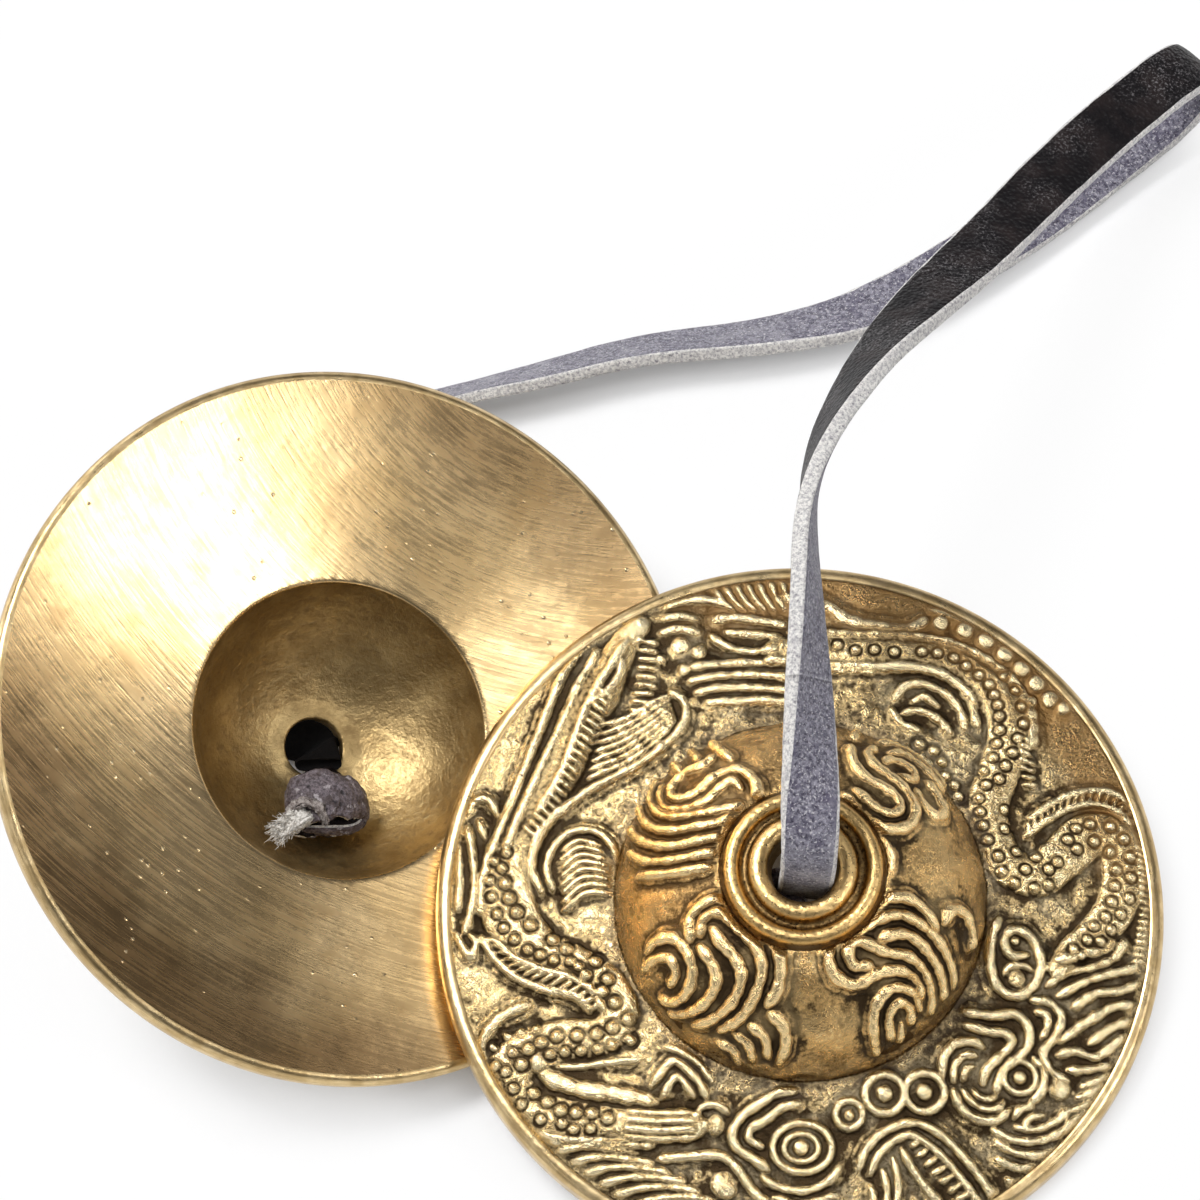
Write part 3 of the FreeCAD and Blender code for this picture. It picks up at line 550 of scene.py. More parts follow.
# Rings: (x, y, half length, half height, half width, height)
RINGS = [
    (0.0, -22.2, 2.6, 2.1, 0.38, 0.60), (-0.1, -22.2, 1.5, 1.2, 0.30, 0.55),
    (7.2, -17.5, 1.75, 1.7, 0.42, 0.55), (10.7, -17.3, 1.75, 1.7, 0.42, 0.55),
    (4.1, -19.3, 1.2, 1.2, 0.36, 0.50), (19.1, -15.8, 1.4, 1.4, 0.35, 0.60),
]

# Fields left smooth between the figures: (x, y, radius)
SMOOTH_FIELDS = [
    (7.5, 28.6, 3.6), (11.5, 29.3, 2.2), (3.2, 30.2, 2.2), (26.2, 15.0, 4.2), (24.4, 12.0, 1.6),
    (-27.0, 13.5, 3.0), (-25.0, 18.0, 2.6), (-22.6, 22.0, 2.0), (-27.0, -8.4, 2.2), (-25.0, -8.0, 1.6),
]

# Cloud scrolls on the dome: (half width, height, points), measured along the surface
CLOUDS = [
    (0.50, 0.50, [(6.1, -4.3), (8.2, -3.1), (10.2, -2.8), (12.0, -3.9), (13.2, -5.4)]),
    (0.50, 0.50, [(13.9, -4.5), (14.9, -3.2), (16.6, -3.1), (18.0, -4.6), (18.6, -6.4)]),
    (0.50, 0.50, [(5.2, -6.5), (7.0, -5.2), (9.4, -4.4), (11.7, -5.2), (13.8, -6.8), (15.5, -8.9),
                  (16.4, -10.8)]),
    (0.50, 0.50, [(7.0, -7.3), (8.4, -6.4), (10.2, -6.2), (12.3, -7.6), (14.2, -9.8), (15.2, -12.0)]),
    (0.50, 0.50, [(6.6, -9.3), (5.0, -9.5), (4.3, -8.4), (4.9, -7.3), (6.3, -7.4), (8.2, -8.0),
                  (10.2, -8.2), (12.0, -9.5), (13.3, -11.8), (13.9, -13.6)]),
    (0.50, 0.50, [(3.6, -6.6), (2.5, -8.2), (2.9, -10.2), (4.9, -11.1), (7.0, -10.1), (9.4, -9.5),
                  (11.1, -10.3), (12.2, -12.2)]),
    (0.45, 0.45, [(8.2, -18.4), (7.3, -15.8), (7.2, -13.2), (8.6, -11.3), (10.8, -11.4), (12.4, -13.4)]),
    (0.45, 0.45, [(9.5, -16.6), (8.7, -14.2), (9.4, -12.6), (10.8, -13.0), (11.6, -14.8)]),
    (0.40, 0.40, [(10.7, -17.0), (10.2, -14.6)]),
    (0.50, 0.50, [(-10.9, -6.8), (-10.9, -4.6), (-9.2, -3.2), (-7.4, -3.4), (-5.5, -4.9), (-3.4, -6.8),
                  (-2.3, -9.2), (-2.6, -11.6), (-3.6, -13.1)]),
    (0.48, 0.48, [(-3.4, -13.7), (-2.1, -15.0), (-1.8, -17.0), (-2.6, -19.2)]),
    (0.48, 0.48, [(-9.9, -6.4), (-9.7, -4.9), (-8.3, -4.3), (-6.8, -5.5), (-5.0, -7.3), (-4.0, -9.6),
                  (-4.7, -12.1), (-6.5, -14.3), (-8.8, -15.6)]),
    (0.48, 0.48, [(-8.9, -5.6), (-8.0, -7.1), (-6.7, -8.6), (-6.0, -10.5), (-7.0, -12.7), (-9.2, -14.3),
                  (-11.7, -15.0)]),
    (0.48, 0.48, [(-10.2, -7.2), (-8.9, -9.0), (-8.6, -11.0), (-10.2, -12.9), (-12.7, -13.7),
                  (-14.6, -13.6)]),
    (0.48, 0.48, [(-16.2, -7.2), (-14.6, -6.2), (-12.8, -6.2), (-11.3, -7.7), (-10.9, -9.6),
                  (-11.8, -11.6), (-13.6, -12.5), (-15.6, -12.0)]),
    (0.42, 0.42, [(-17.0, -8.9), (-15.0, -7.9), (-13.3, -8.1), (-12.7, -9.6), (-13.8, -10.8)]),
    (0.42, 0.42, [(-5.4, -14.9), (-3.9, -16.3), (-3.6, -18.6)]),
    (0.42, 0.42, [(-7.2, -15.7), (-5.7, -16.9), (-5.3, -19.0)]),
    (0.42, 0.42, [(-9.2, -16.8), (-7.4, -17.6), (-7.0, -19.4)]),
    (0.50, 0.50, [(-4.3, 7.0), (-4.7, 9.2), (-6.3, 10.7), (-8.3, 10.3), (-9.9, 8.9), (-11.6, 8.2),
                  (-13.1, 8.9), (-13.3, 10.6), (-12.0, 11.9), (-10.0, 12.1), (-8.6, 13.4)]),
    (0.42, 0.45, [(-5.9, 8.4), (-6.8, 9.4), (-8.1, 8.6), (-9.4, 7.3), (-11.6, 6.9), (-13.6, 7.6),
                  (-14.6, 9.6), (-15.0, 12.0)]),
    (0.45, 0.45, [(-6.0, 6.6), (-7.8, 6.2), (-10.1, 6.0), (-12.4, 6.1), (-14.3, 7.2), (-15.8, 9.4),
                  (-16.6, 12.2), (-16.4, 14.2)]),
    (0.48, 0.48, [(-6.4, 5.4), (-8.4, 4.8), (-10.4, 4.6), (-12.8, 4.7), (-15.0, 5.7), (-16.8, 7.7),
                  (-18.0, 10.4)]),
    (0.48, 0.48, [(-7.7, 3.4), (-10.1, 3.1), (-12.7, 3.0), (-15.1, 3.8), (-17.2, 5.4), (-18.8, 7.6)]),
    (0.45, 0.45, [(-8.6, 1.8), (-11.2, 1.5), (-13.6, 1.6), (-16.0, 2.3), (-18.5, 4.2)]),
    (0.42, 0.42, [(-9.2, 0.3), (-11.8, 0.2), (-14.2, 0.4), (-17.0, 0.9)]),
    (0.40, 0.35, [(-7.0, 5.0), (-7.9, 3.2), (-8.3, 1.4)]),
    (0.48, 0.48, [(-7.0, 12.4), (-8.6, 14.6), (-9.8, 17.2)]),
    (0.45, 0.45, [(-10.6, 13.4), (-11.4, 15.2), (-12.4, 17.0)]),
    (0.45, 0.45, [(-12.9, 13.0), (-13.8, 14.6), (-14.6, 16.0)]),
    (0.50, 0.50, [(4.2, 7.6), (6.2, 5.3), (8.4, 4.2), (10.4, 4.9), (11.1, 6.9), (10.2, 8.8),
                  (8.7, 10.3), (7.2, 11.6), (6.8, 13.2), (7.8, 14.6)]),
    (0.42, 0.45, [(5.2, 8.4), (6.8, 6.6), (8.6, 5.8), (9.6, 6.6), (9.3, 7.8), (7.9, 8.9), (6.3, 9.8),
                  (5.2, 11.6), (5.0, 14.0)]),
    (0.45, 0.45, [(8.2, 12.0), (9.0, 12.9), (10.6, 12.8), (11.7, 11.6), (11.0, 10.4), (9.7, 10.7)]),
    (0.50, 0.45, [(11.4, 9.4), (11.9, 7.7), (13.5, 6.8), (14.7, 7.8), (14.2, 9.8), (13.2, 11.4)]),
    (0.45, 0.45, [(9.2, 14.4), (11.2, 14.8), (13.6, 13.4), (15.6, 11.4)]),
    (0.45, 0.45, [(8.6, 16.4), (11.4, 16.6), (14.2, 15.2), (16.6, 12.8)]),
    (0.42, 0.40, [(5.6, 15.6), (6.2, 18.0)]),
    (0.38, 0.35, [(7.9, 3.2), (8.6, 1.3), (8.3, -0.7)]),
]

# How the relief is drawn: height maps in millimetres, one for the flange and one for the dome
MAP_STEP = 0.07
FLANGE_MAP_HALF = 33.0
DOME_MAP_HALF = 23.0
LINE_STEP = 0.12
LINE_TAPER = 0.8
RIB_TAPER = 0.3
THIN_END_SHARE = 0.45
LOW_END_SHARE = 0.35
# The waves along a stroke: (size, rate, where it starts). They start elsewhere on each stroke.
STROKE_WAVES = ((0.10, 1.9, 1), (0.08, 4.7, 3))
START_TURN = 1.7
# What each kind of line is given: its own width and height, and the width and height of the
# low plate beneath it, all but the last as shares of what its list says
RIDGE_SHARES = (1.2, 1.0, 2.5, 0.28)
STRAND_SHARES = (1.15, 1.0, 2.2, 0.25)
RIB_SHARES = (1.0, 1.0, 2.2, 0.2)
CLOUD_SHARES = (1.5, 1.1, 2.5, 0.28)
# A mound's power gives its shape: 1 a low hill, 0.5 a round dome and less a flat-topped plate
LINE_POWER = 0.7
CLOUD_POWER = 0.85
PLATE_POWER = 0.35
CLOUD_PLATE_POWER = 0.3
ROUND_POWER = 0.5
BODY_HEIGHT = 1.05
BODY_POWER = 0.55
# The left dragon's shoulder: place, radius, height and power
SHOULDER = (-19.2, 3.0, 3.2, 0.6, 0.6)
RING_PLATE_HEIGHT = 0.3
KNOB_PLATE_SHARE = 1.5
KNOB_PLATE_HEIGHT = 0.2
RING_STAMPS = 60
BIG_SCALE_RADIUS = 0.56
SCALE_RADIUS = 0.46
SCALE_HEIGHT = 0.85
SCALE_POWER = 0.6
GROOVE_SHARE = 1.6
GROOVE_DEPTH = 0.35
SMOOTH_POWER = 0.6
SMOOTH_GAIN = 1.6
SMOOTHING_SHARE = 0.6
BODY_LEVEL = 0.2
DETAIL_LOSS_SHARE = 0.15
GROUND_GAIN = 1.6
LEAST_ON_FLANGE = 0.35
LEAST_ON_DOME = 0.4
# A casting's uneven skin has fine, middle and broad waves: their reach in steps of the map, and
# their heights on the flange and on the dome
SKIN_REACHES = (2, 6, 18)
FLANGE_SKIN = (0.030, 0.055, 0.10)
DOME_SKIN = (0.005, 0.02, 0.11)


def smooth_line(points, step):
    # A smooth line through the points, evenly spaced. Points may carry a third value.
    p = np.array(points, float)
    p = np.vstack([p[0] * 2 - p[1], p, p[-1] * 2 - p[-2]])
    out = []
    for i in range(1, len(p) - 2):
        a, b, c, d = p[i - 1:i + 3]
        n = max(2, int(np.hypot(*(c - b)[:2]) / step) + 1)
        t = np.linspace(0, 1, n, endpoint=False)[:, None]
        curve = 2 * b + (c - a) * t + (2 * a - 5 * b + 4 * c - d) * t ** 2 + (3 * b - a - 3 * c + d) * t ** 3
        out.append(0.5 * curve)
    out.append(p[-2:-1])
    return np.vstack(out)


def measured_line(points):
    line = smooth_line(points, LINE_STEP)
    return line, np.r_[0, np.cumsum(np.hypot(*np.diff(line[:, :2], axis=0).T))]


def even_points(points, count):
    line, distances = measured_line(points)
    return at(distances, line, np.linspace(0, distances[-1], count))


def between(first, last, count):
    a, b = np.array(first), np.array(last)
    return [a + (b - a) * k for k in np.linspace(0, 1, count)]


class Relief:
    # A square height map about the cymbal's middle. Where mounds overlap, the higher one counts.
    def __init__(self, half):
        self.half = half
        side = int(2 * half / MAP_STEP) + 1
        self.field = np.zeros((side, side), np.float32)

    def mound(self, x, y, radius, height, power=ROUND_POWER):
        side = len(self.field)
        spans = []
        for c in (x, y):
            low = max(int((c - radius + self.half) / MAP_STEP), 0)
            high = min(int((c + radius + self.half) / MAP_STEP) + 2, side)
            spans.append((low, high, np.arange(low, high) * MAP_STEP - self.half - c))
        (x_low, x_high, gx), (y_low, y_high, gy) = spans
        if x_low >= x_high or y_low >= y_high:
            return
        t = 1 - (gx[None, :] ** 2 + gy[:, None] ** 2) / radius ** 2
        part = self.field[y_low:y_high, x_low:x_high]
        np.maximum(part, height * np.clip(t, 0, 1) ** power, out=part)

    def stroke(self, points, half_width, height, taper, power):
        # A line that swells and thins a little, as a hand cuts it
        line, distances = measured_line(points)
        end = np.minimum(distances, distances[-1] - distances)
        full = np.clip(end / taper, 0, 1) ** 0.5
        start = line[0, 0] * START_TURN + line[0, 1]
        uneven = 1
        for size, rate, turn in STROKE_WAVES:
            uneven = uneven + size * np.sin(distances * rate + start * turn)
        for (x, y), f in zip(line[:, :2], full * uneven):
            width = half_width * (THIN_END_SHARE + (1 - THIN_END_SHARE) * f)
            self.mound(x, y, width, height * (LOW_END_SHARE + (1 - LOW_END_SHARE) * f), power)

    def read(self, x, y):
        # The map's height at points between its own
        u = np.clip((x + self.half) / MAP_STEP, 0, len(self.field) - 1.001)
        v = np.clip((y + self.half) / MAP_STEP, 0, len(self.field) - 1.001)
        i, j = u.astype(int), v.astype(int)
        a, b = u - i, v - j
        f = self.field
        return (f[j, i] * (1 - a) * (1 - b) + f[j, i + 1] * a * (1 - b)
                + f[j + 1, i] * (1 - a) * b + f[j + 1, i + 1] * a * b)

    def against_surroundings(self, reach):
        # How far each point stands above its surroundings
        out = Relief(self.half)
        out.field = self.field - blurred(self.field, reach)
        return out


def line_on_plate(fine, plate, points, width, height, shares,
                  taper=LINE_TAPER, power=LINE_POWER, plate_power=PLATE_POWER):
    # A raised line, and the low plate that it stands on
    width_share, height_share, plate_share, plate_height = shares
    fine.stroke(points, width * width_share, height * height_share, taper, power)
    plate.stroke(points, width * plate_share, plate_height, taper, plate_power)


def blurred(field, reach):
    # A soft copy of a map: its mean over a square, taken twice
    out = field.astype(np.float32)
    side = len(field)
    for axis in (0, 1, 0, 1):
        edges = [(0, 0), (0, 0)]
        edges[axis] = (reach + 1, reach)
        total = np.cumsum(np.pad(out, edges, "edge"), axis)
        upper = np.take(total, range(2 * reach + 1, side + 2 * reach + 1), axis)
        out = (upper - np.take(total, range(side), axis)) / (2 * reach + 1)
    return out


def cast_skin(shape, heights):
    # The uneven skin that sand and wax leave on a casting
    total = np.zeros(shape, np.float32)
    for height, reach in zip(heights, SKIN_REACHES):
        wave = blurred(rng.normal(size=shape), reach)
        total += height * wave / wave.std()
    return total


def flange_relief():
    base, fine, plate, grooves, smooth = [Relief(FLANGE_MAP_HALF) for _ in range(5)]
    for body in (LEFT_BODY, RIGHT_BODY):
        for x, y, half_width in smooth_line(body, LINE_STEP * 2):
            base.mound(x, y, half_width, BODY_HEIGHT, BODY_POWER)
    base.mound(*SHOULDER)
    for width, height, points in RIDGES:
        line_on_plate(fine, plate, points, width, height, RIDGE_SHARES)
    for count, width, height, first, last in STRANDS:
        for points in between(first, last, count):
            line_on_plate(fine, plate, points, width, height, STRAND_SHARES)
    for count, width, height, one, other in RIBS:
        for ends in zip(even_points(one, count), even_points(other, count)):
            line_on_plate(fine, plate, ends, width, height, RIB_SHARES, RIB_TAPER)
    for x, y, a, b, width, height in RINGS:
        for t in np.linspace(0, FULL_TURN, RING_STAMPS):
            fine.mound(x + a * np.cos(t), y + b * np.sin(t), width, height)
        plate.mound(x, y, max(a, b) + width, RING_PLATE_HEIGHT, PLATE_POWER)
    for x, y, radius, height in KNOBS:
        fine.mound(x, y, radius, height)
        plate.mound(x, y, radius * KNOB_PLATE_SHARE, KNOB_PLATE_HEIGHT, PLATE_POWER)
    # Each scale is a round bead in a ring-shaped groove
    for scales, radius in ((BIG_SCALES, BIG_SCALE_RADIUS), (SCALES, SCALE_RADIUS)):
        for x, y in scales:
            grooves.mound(x, y, radius * GROOVE_SHARE, GROOVE_DEPTH)
            fine.mound(x, y, radius, SCALE_HEIGHT, SCALE_POWER)
    for x, y, radius in SMOOTH_FIELDS:
        smooth.mound(x, y, radius, 1.0, SMOOTH_POWER)
    ground = np.maximum(base.field, plate.field) - grooves.field
    height = ground + fine.field * (1 - DETAIL_LOSS_SHARE * (base.field > BODY_LEVEL))
    polished = np.clip(smooth.field * SMOOTH_GAIN, 0, 1)
    rough_share = np.clip(1 - height * GROUND_GAIN, LEAST_ON_FLANGE, 1) * (1 - SMOOTHING_SHARE * polished)
    base.field = height + cast_skin(height.shape, FLANGE_SKIN) * rough_share
    return base


def dome_relief():
    fine, plate = Relief(DOME_MAP_HALF), Relief(DOME_MAP_HALF)
    for width, height, points in CLOUDS:
        line_on_plate(fine, plate, points, width, height, CLOUD_SHARES,
                      power=CLOUD_POWER, plate_power=CLOUD_PLATE_POWER)
    height = plate.field + fine.field
    plate.field = height + cast_skin(height.shape, DOME_SKIN) * np.clip(1 - height, LEAST_ON_DOME, 1)
    return plate

# Each knot's frame: how far its middle lies below the hole and how far aside, in millimetres,
# and which way aside, in degrees
KNOT_LEVEL = 8.7
LEFT_KNOT_OFFSET = 5.8
LEFT_KNOT_HEADING = -63.0
RIGHT_KNOT_OFFSET = 3.6
RIGHT_KNOT_HEADING = -120.0

# An overhand knot pulled tight: (place, way that the suede side faces), each as (across,
# from the hole, towards the mouth), in millimetres. It goes down behind, along the foot,
# round the front and back behind itself.
KNOT_PATH = [
    ((0.1, -3.2, -2.6), (0.0, -0.8, 0.5)),
    ((-0.4, -2.0, -2.0), (0.0, -0.6, 0.8)),
    ((-1.4, 0.1, -1.6), (0.0, -0.2, 1.0)),
    ((-0.2, 1.7, -1.6), (0.0, -0.3, 0.9)),
    ((1.5, 2.1, -0.7), (0.1, -0.9, 0.3)),
    ((0.4, 2.4, 0.4), (0.0, -1.0, 0.2)),
    ((-2.3, 2.25, 0.4), (0.2, -1.0, 0.2)),
    ((-3.5, 1.3, -0.3), (0.9, -0.2, 0.0)),
    ((-2.9, 0.0, 1.2), (0.7, 0.1, -0.7)),
    ((-0.2, -0.4, 2.5), (0.0, 0.2, -1.0)),
    ((2.6, 0.0, 1.4), (-0.7, 0.1, -0.7)),
    ((3.2, 0.7, -0.4), (-1.0, 0.0, 0.1)),
    ((2.1, 1.3, -1.4), (-0.4, -0.1, 0.9)),
    ((0.5, 1.5, -0.6), (0.2, -0.3, 0.9)),
]
TAIL_PATH = [
    ((1.4, 0.9, 0.9), (0.0, -0.4, 0.9)),
    ((2.4, 1.5, 2.2), (0.0, -0.4, 0.9)),
    ((3.6, 2.3, 2.2), (0.1, -0.3, 0.9)),
    ((4.9, 3.2, 1.7), (0.2, -0.2, 0.9)),
]
# The torn lip that the tail comes out of
LIP_PATH = [
    ((4.1, 2.3, 1.6), (0.4, 0.1, 0.9)),
    ((3.8, 1.1, 2.1), (0.4, -0.4, 0.8)),
    ((2.9, 0.5, 2.7), (0.1, -0.5, 0.9)),
    ((1.8, 0.8, 3.1), (0.0, -0.3, 1.0)),
    ((1.0, 1.7, 3.1), (-0.2, 0.0, 1.0)),
    ((0.8, 2.5, 2.6), (-0.3, 0.2, 0.9)),
]
# Each strip of a knot: its path, stations, widths and thicknesses along it in millimetres, the
# roughness of its skin and its section's power
KNOT_STRIPS = {
    "turns": (KNOT_PATH, 170, (3.7, 4.2, 3.4, 1.6, 1.7, 4.2, 5.0, 5.0, 3.2), (1.4, 1.5), 0.06, 0.75),
    "tail": (TAIL_PATH, 40, (1.5, 1.6, 1.8), (1.4, 0.7), 0.10, 0.6),
    "lip": (LIP_PATH, 50, (0.4, 0.8, 0.9, 0.8, 0.4), (0.45, 0.45), 0.10, 0.8),
}
KNOT_RESOLUTION = 16
KNOT_EDGE_SHARE = 0.1
WIDTH_UNEVEN = 0.05
WIDTH_REACH = 9

# The torn end of the tail, in millimetres and as shares of the tail's own way
FIBRE_COUNT = 420
FIBRE_RADIUS = 0.08
FIBRE_LENGTHS = (0.25, 0.95)
FIBRE_STATIONS = (0, 0.35, 0.7, 1.0)
FIBRE_SIDES = 4
FIBRE_BEND_SHARE = 0.35
FIBRE_TAPER_SHARE = 0.75
FRAY_HALF_WIDTH = 0.8
FRAY_HALF_HEIGHT = 0.4
FRAY_BACK = 2.2
FRAY_SPREAD_SHARE = 0.35
# Fibres lift towards the mouth by their own height, by a little more, and more the further back
FRAY_LIFT_SHARES = (0.3, 0.1, 0.4)
FRAY_SCATTER = 0.32


def knot_axes(axes, heading_degrees, offset):
    # A knot's middle, and its ways across, from the hole and towards the mouth
    z = axes.col[2].xyz
    heading = math.radians(heading_degrees)
    way = square_to(z, Vector((math.cos(heading), math.sin(heading), 0)))
    centre = axes.col[3].xyz + (z * KNOT_LEVEL + way * offset) * MM
    return np.array(centre), np.array((z.cross(way), way, -z))


def knot_strip(name, frame, path, stations, width, thickness, rough, power):
    # A strip along a knot's path. Its width and thickness run from the first to the last value.
    centre, ways = frame
    local = nurbs_points([p for p, _ in path], KNOT_RESOLUTION)
    facing = nurbs_points([f for _, f in path], KNOT_RESOLUTION)
    distances = along(local)
    where = np.linspace(0, distances[-1], stations)
    points = centre + at(distances, local, where) @ ways * MM
    facings = unit(at(distances, facing, where) @ ways)
    widths = np.interp(np.linspace(0, 1, stations), np.linspace(0, 1, len(width)), width)
    widths = widths * (1 + WIDTH_UNEVEN * soft_noise(stations, WIDTH_REACH))
    tangents = unit(np.gradient(points, axis=0))
    mesh = strip_mesh(name, points, tangents, facings, widths, np.linspace(*thickness, stations),
                      rough, power, KNOT_EDGE_SHARE)
    return new_object(name, mesh), points


def fibres(name, roots, ways, lengths):
    # Short torn leather fibres, each a thin bent spike
    verts, faces = [], []
    ring = [k * FULL_TURN / FIBRE_SIDES for k in range(FIBRE_SIDES)]
    for root, way, length in zip(roots, ways, lengths):
        way = way / np.linalg.norm(way)
        side = unit(np.cross(way, rng.normal(size=3)))
        other = np.cross(way, side)
        bend = rng.normal(size=3) * length * FIBRE_BEND_SHARE
        base = len(verts)
        for share in FIBRE_STATIONS:
            middle = root + way * length * share + bend * share ** 2
            r = FIBRE_RADIUS * MM * (1 - FIBRE_TAPER_SHARE * share)
            verts += [tuple(middle + (side * math.cos(a) + other * math.sin(a)) * r) for a in ring]
        for a in range(base, len(verts) - FIBRE_SIDES, FIBRE_SIDES):
            for m in range(FIBRE_SIDES):
                m2 = (m + 1) % FIBRE_SIDES
                faces.append((a + m, a + m2, a + FIBRE_SIDES + m2, a + FIBRE_SIDES + m))
        faces.append(tuple(range(base + FIBRE_SIDES - 1, base - 1, -1)))
        faces.append(tuple(range(len(verts) - FIBRE_SIDES, len(verts))))
    mesh = bpy.data.meshes.new(name)
    mesh.from_pydata(verts, [], faces)
    mesh.update()
    return mesh


def make_fray(name, tail_points, mouthward):
    # The fibres that stand out of the tail's torn end
    tip = tail_points[-1]
    out = unit(tip - tail_points[-4])
    sideways = unit(np.cross(out, mouthward))
    spread = rng.uniform(-1, 1, (FIBRE_COUNT, 2))
    across, upward = spread[:, :1], spread[:, 1:]
    back = rng.uniform(0, 1, (FIBRE_COUNT, 1)) ** 2
    roots = (tip + sideways * across * FRAY_HALF_WIDTH * MM + mouthward * upward * FRAY_HALF_HEIGHT * MM
             - out * back * FRAY_BACK * MM)
    own, least, from_back = FRAY_LIFT_SHARES
    ways = (out + sideways * (across * FRAY_SPREAD_SHARE)
            + mouthward * (upward * own + least + back * from_back))
    ways = ways + rng.normal(size=(FIBRE_COUNT, 3)) * FRAY_SCATTER
    lengths = rng.uniform(*FIBRE_LENGTHS, FIBRE_COUNT) * MM
    return new_object(name, fibres(name, roots, ways, lengths))


def make_knot(name, axes, heading_degrees, offset):
    frame = knot_axes(axes, heading_degrees, offset)
    made = []
    for part, row in KNOT_STRIPS.items():
        piece, points = knot_strip(name + "_" + part, frame, *row)
        made.append(piece)
        if part == "tail":
            tail_points = points
    mouthward = frame[1][2]
    return [*made, make_fray(name + "_fray", tail_points, mouthward)]


left_knot = make_knot("left_knot", left_axes, LEFT_KNOT_HEADING, LEFT_KNOT_OFFSET)
right_knot = make_knot("right_knot", right_axes, RIGHT_KNOT_HEADING, RIGHT_KNOT_OFFSET)

# A cymbal's section, in millimetres: places are (radius, height from the rim's plane)
HOLE_RADIUS = 3.05
THROAT_RADIUS = 2.7
ROOF_HEIGHT = 12.9
COLLAR_HEIGHT = 15.25
LIP_ROUND = 0.9
RING_RADIUS = 6.25
RING_ROUND = 0.7
DOME_TOP = np.array((7.3, 14.8))
DOME_BASE = np.array((16.5, 5.3))
DOME_ARC = 13.5
FLANGE_EDGE = np.array((31.2, 2.8))
RIM_RADIUS = 32.5
RIM_ROUND = 1.0
FACE_CHAMFER = 0.5
MOUTH = np.array((13.6, 3.4))
CAVITY_ARC = 13.5
CAVITY_TOP = np.array((4.3, ROOF_HEIGHT))
# The face meets the hollow in a small round edge: its points, from the mouth
FACE_END = (0.25, -0.05)
MOUTH_OUTER = (0.08, 0.02)
MOUTH_INNER = (-0.03, 0.14)
CAVITY_START = (-0.06, 0.3)
# The hole's inner end, from the throat's corner at the roof
THROAT = np.array((THROAT_RADIUS, ROOF_HEIGHT))
ROOF_END = (0.2, 0.0)
THROAT_EDGE = ((0.05, 0.08), (0.0, 0.25), (0.0, 0.7))
BORE_RISE = 1.3
BORE_SINK = 0.1
# The plain body lies this far beneath its cast skins
DOME_SINK = (0.1, 0.3)
FLANGE_FOOT_SINK = (0.0, 0.3)
FLANGE_EDGE_SINK = (0.2, 0.3)
DOME_ARC_SINK = 0.3
# How many points each round stretch has
LIP_ROWS = 16
RING_ROWS = 14
RIM_ROWS = 9
UNDER_ROWS = 20
FACE_ROWS = 46
CAVITY_ROWS = 44
BODY_AROUND = 512

# A cast skin: how thick it is under its relief, and for each skin the width over which its
# relief fades at the edges, the share of the map's height, the reach in steps over which a
# point is compared with its surroundings, and how far the bare edge lies below them
PLATE_SINK = 0.5
FLANGE_SKIN_LOOK = (0.7, 0.85, 8, 0.05)
DOME_SKIN_LOOK = (0.6, 0.95, 10, 0.0)
# The dome's map is measured along its surface, and has this radius at the dome's foot
DOME_BASE_RUN = 22.25

# Cast metal is never quite true: slow waves round the hollow, each starting anywhere up to the
# latest start, and a less even edge at its mouth
HOLLOW_WAVES = (3, 5, 7)
LATEST_START = 6.28
HOLLOW_WAVE = 0.02
EDGE_WAVE = 0.010
EDGE_WAVE_REACH = 3
EDGE_ZONE = 0.3

# The material slots of a cymbal's plain body
COLLAR, RIM, FACE, HOLLOW = range(4)

flange_around, flange_rows = ((1150, 80))
dome_around, dome_rows = ((1000, 92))


def straight(a, b, count):
    a, b = np.array(a), np.array(b)
    return a + (b - a) * np.linspace(0, 1, count)[:, None]


def arc_between(a, b, radius, side, count):
    # Points on an arc from a to b. Side +1 bulges to the left of the way from a to b.
    chord = b - a
    normal = np.array([-chord[1], chord[0]]) / np.hypot(*chord)
    drop = math.sqrt(radius ** 2 - (np.hypot(*chord) / 2) ** 2)
    centre = (a + b) / 2 - normal * side * drop
    start = math.atan2(*(a - centre)[::-1])
    stop = math.atan2(*(b - centre)[::-1])
    turn = (stop - start + math.pi) % FULL_TURN - math.pi
    t = start + turn * np.linspace(0, 1, count)
    return centre + radius * np.c_[np.cos(t), np.sin(t)]


def rounded(centre, radius, start_degrees, count):
    # Points on an arc about a centre, from an angle down to zero
    t = np.radians(np.linspace(start_degrees, 0, count))
    return np.array(centre) + radius * np.c_[np.cos(t), np.sin(t)]


def revolved(radii, heights, t):
    # The rows of a section, carried round the axis
    return np.stack([radii * np.cos(t), radii * np.sin(t), heights + 0 * t], -1)


def keep_place(mesh):
    # Each point keeps its place on the cymbal, in millimetres, for the marks of its making
    place = np.empty(len(mesh.vertices) * 3, np.float32)
    mesh.vertices.foreach_get("co", place)
    kept = mesh.attributes.new("place", "FLOAT_VECTOR", "POINT")
    kept.data.foreach_set("vector", place / np.float32(MM))


def outward(section):
    # The unit normals of a section that runs inward and up
    way = np.gradient(section, axis=0)
    normals = np.c_[way[:, 1], -way[:, 0]]
    return normals / np.hypot(*normals.T)[:, None]


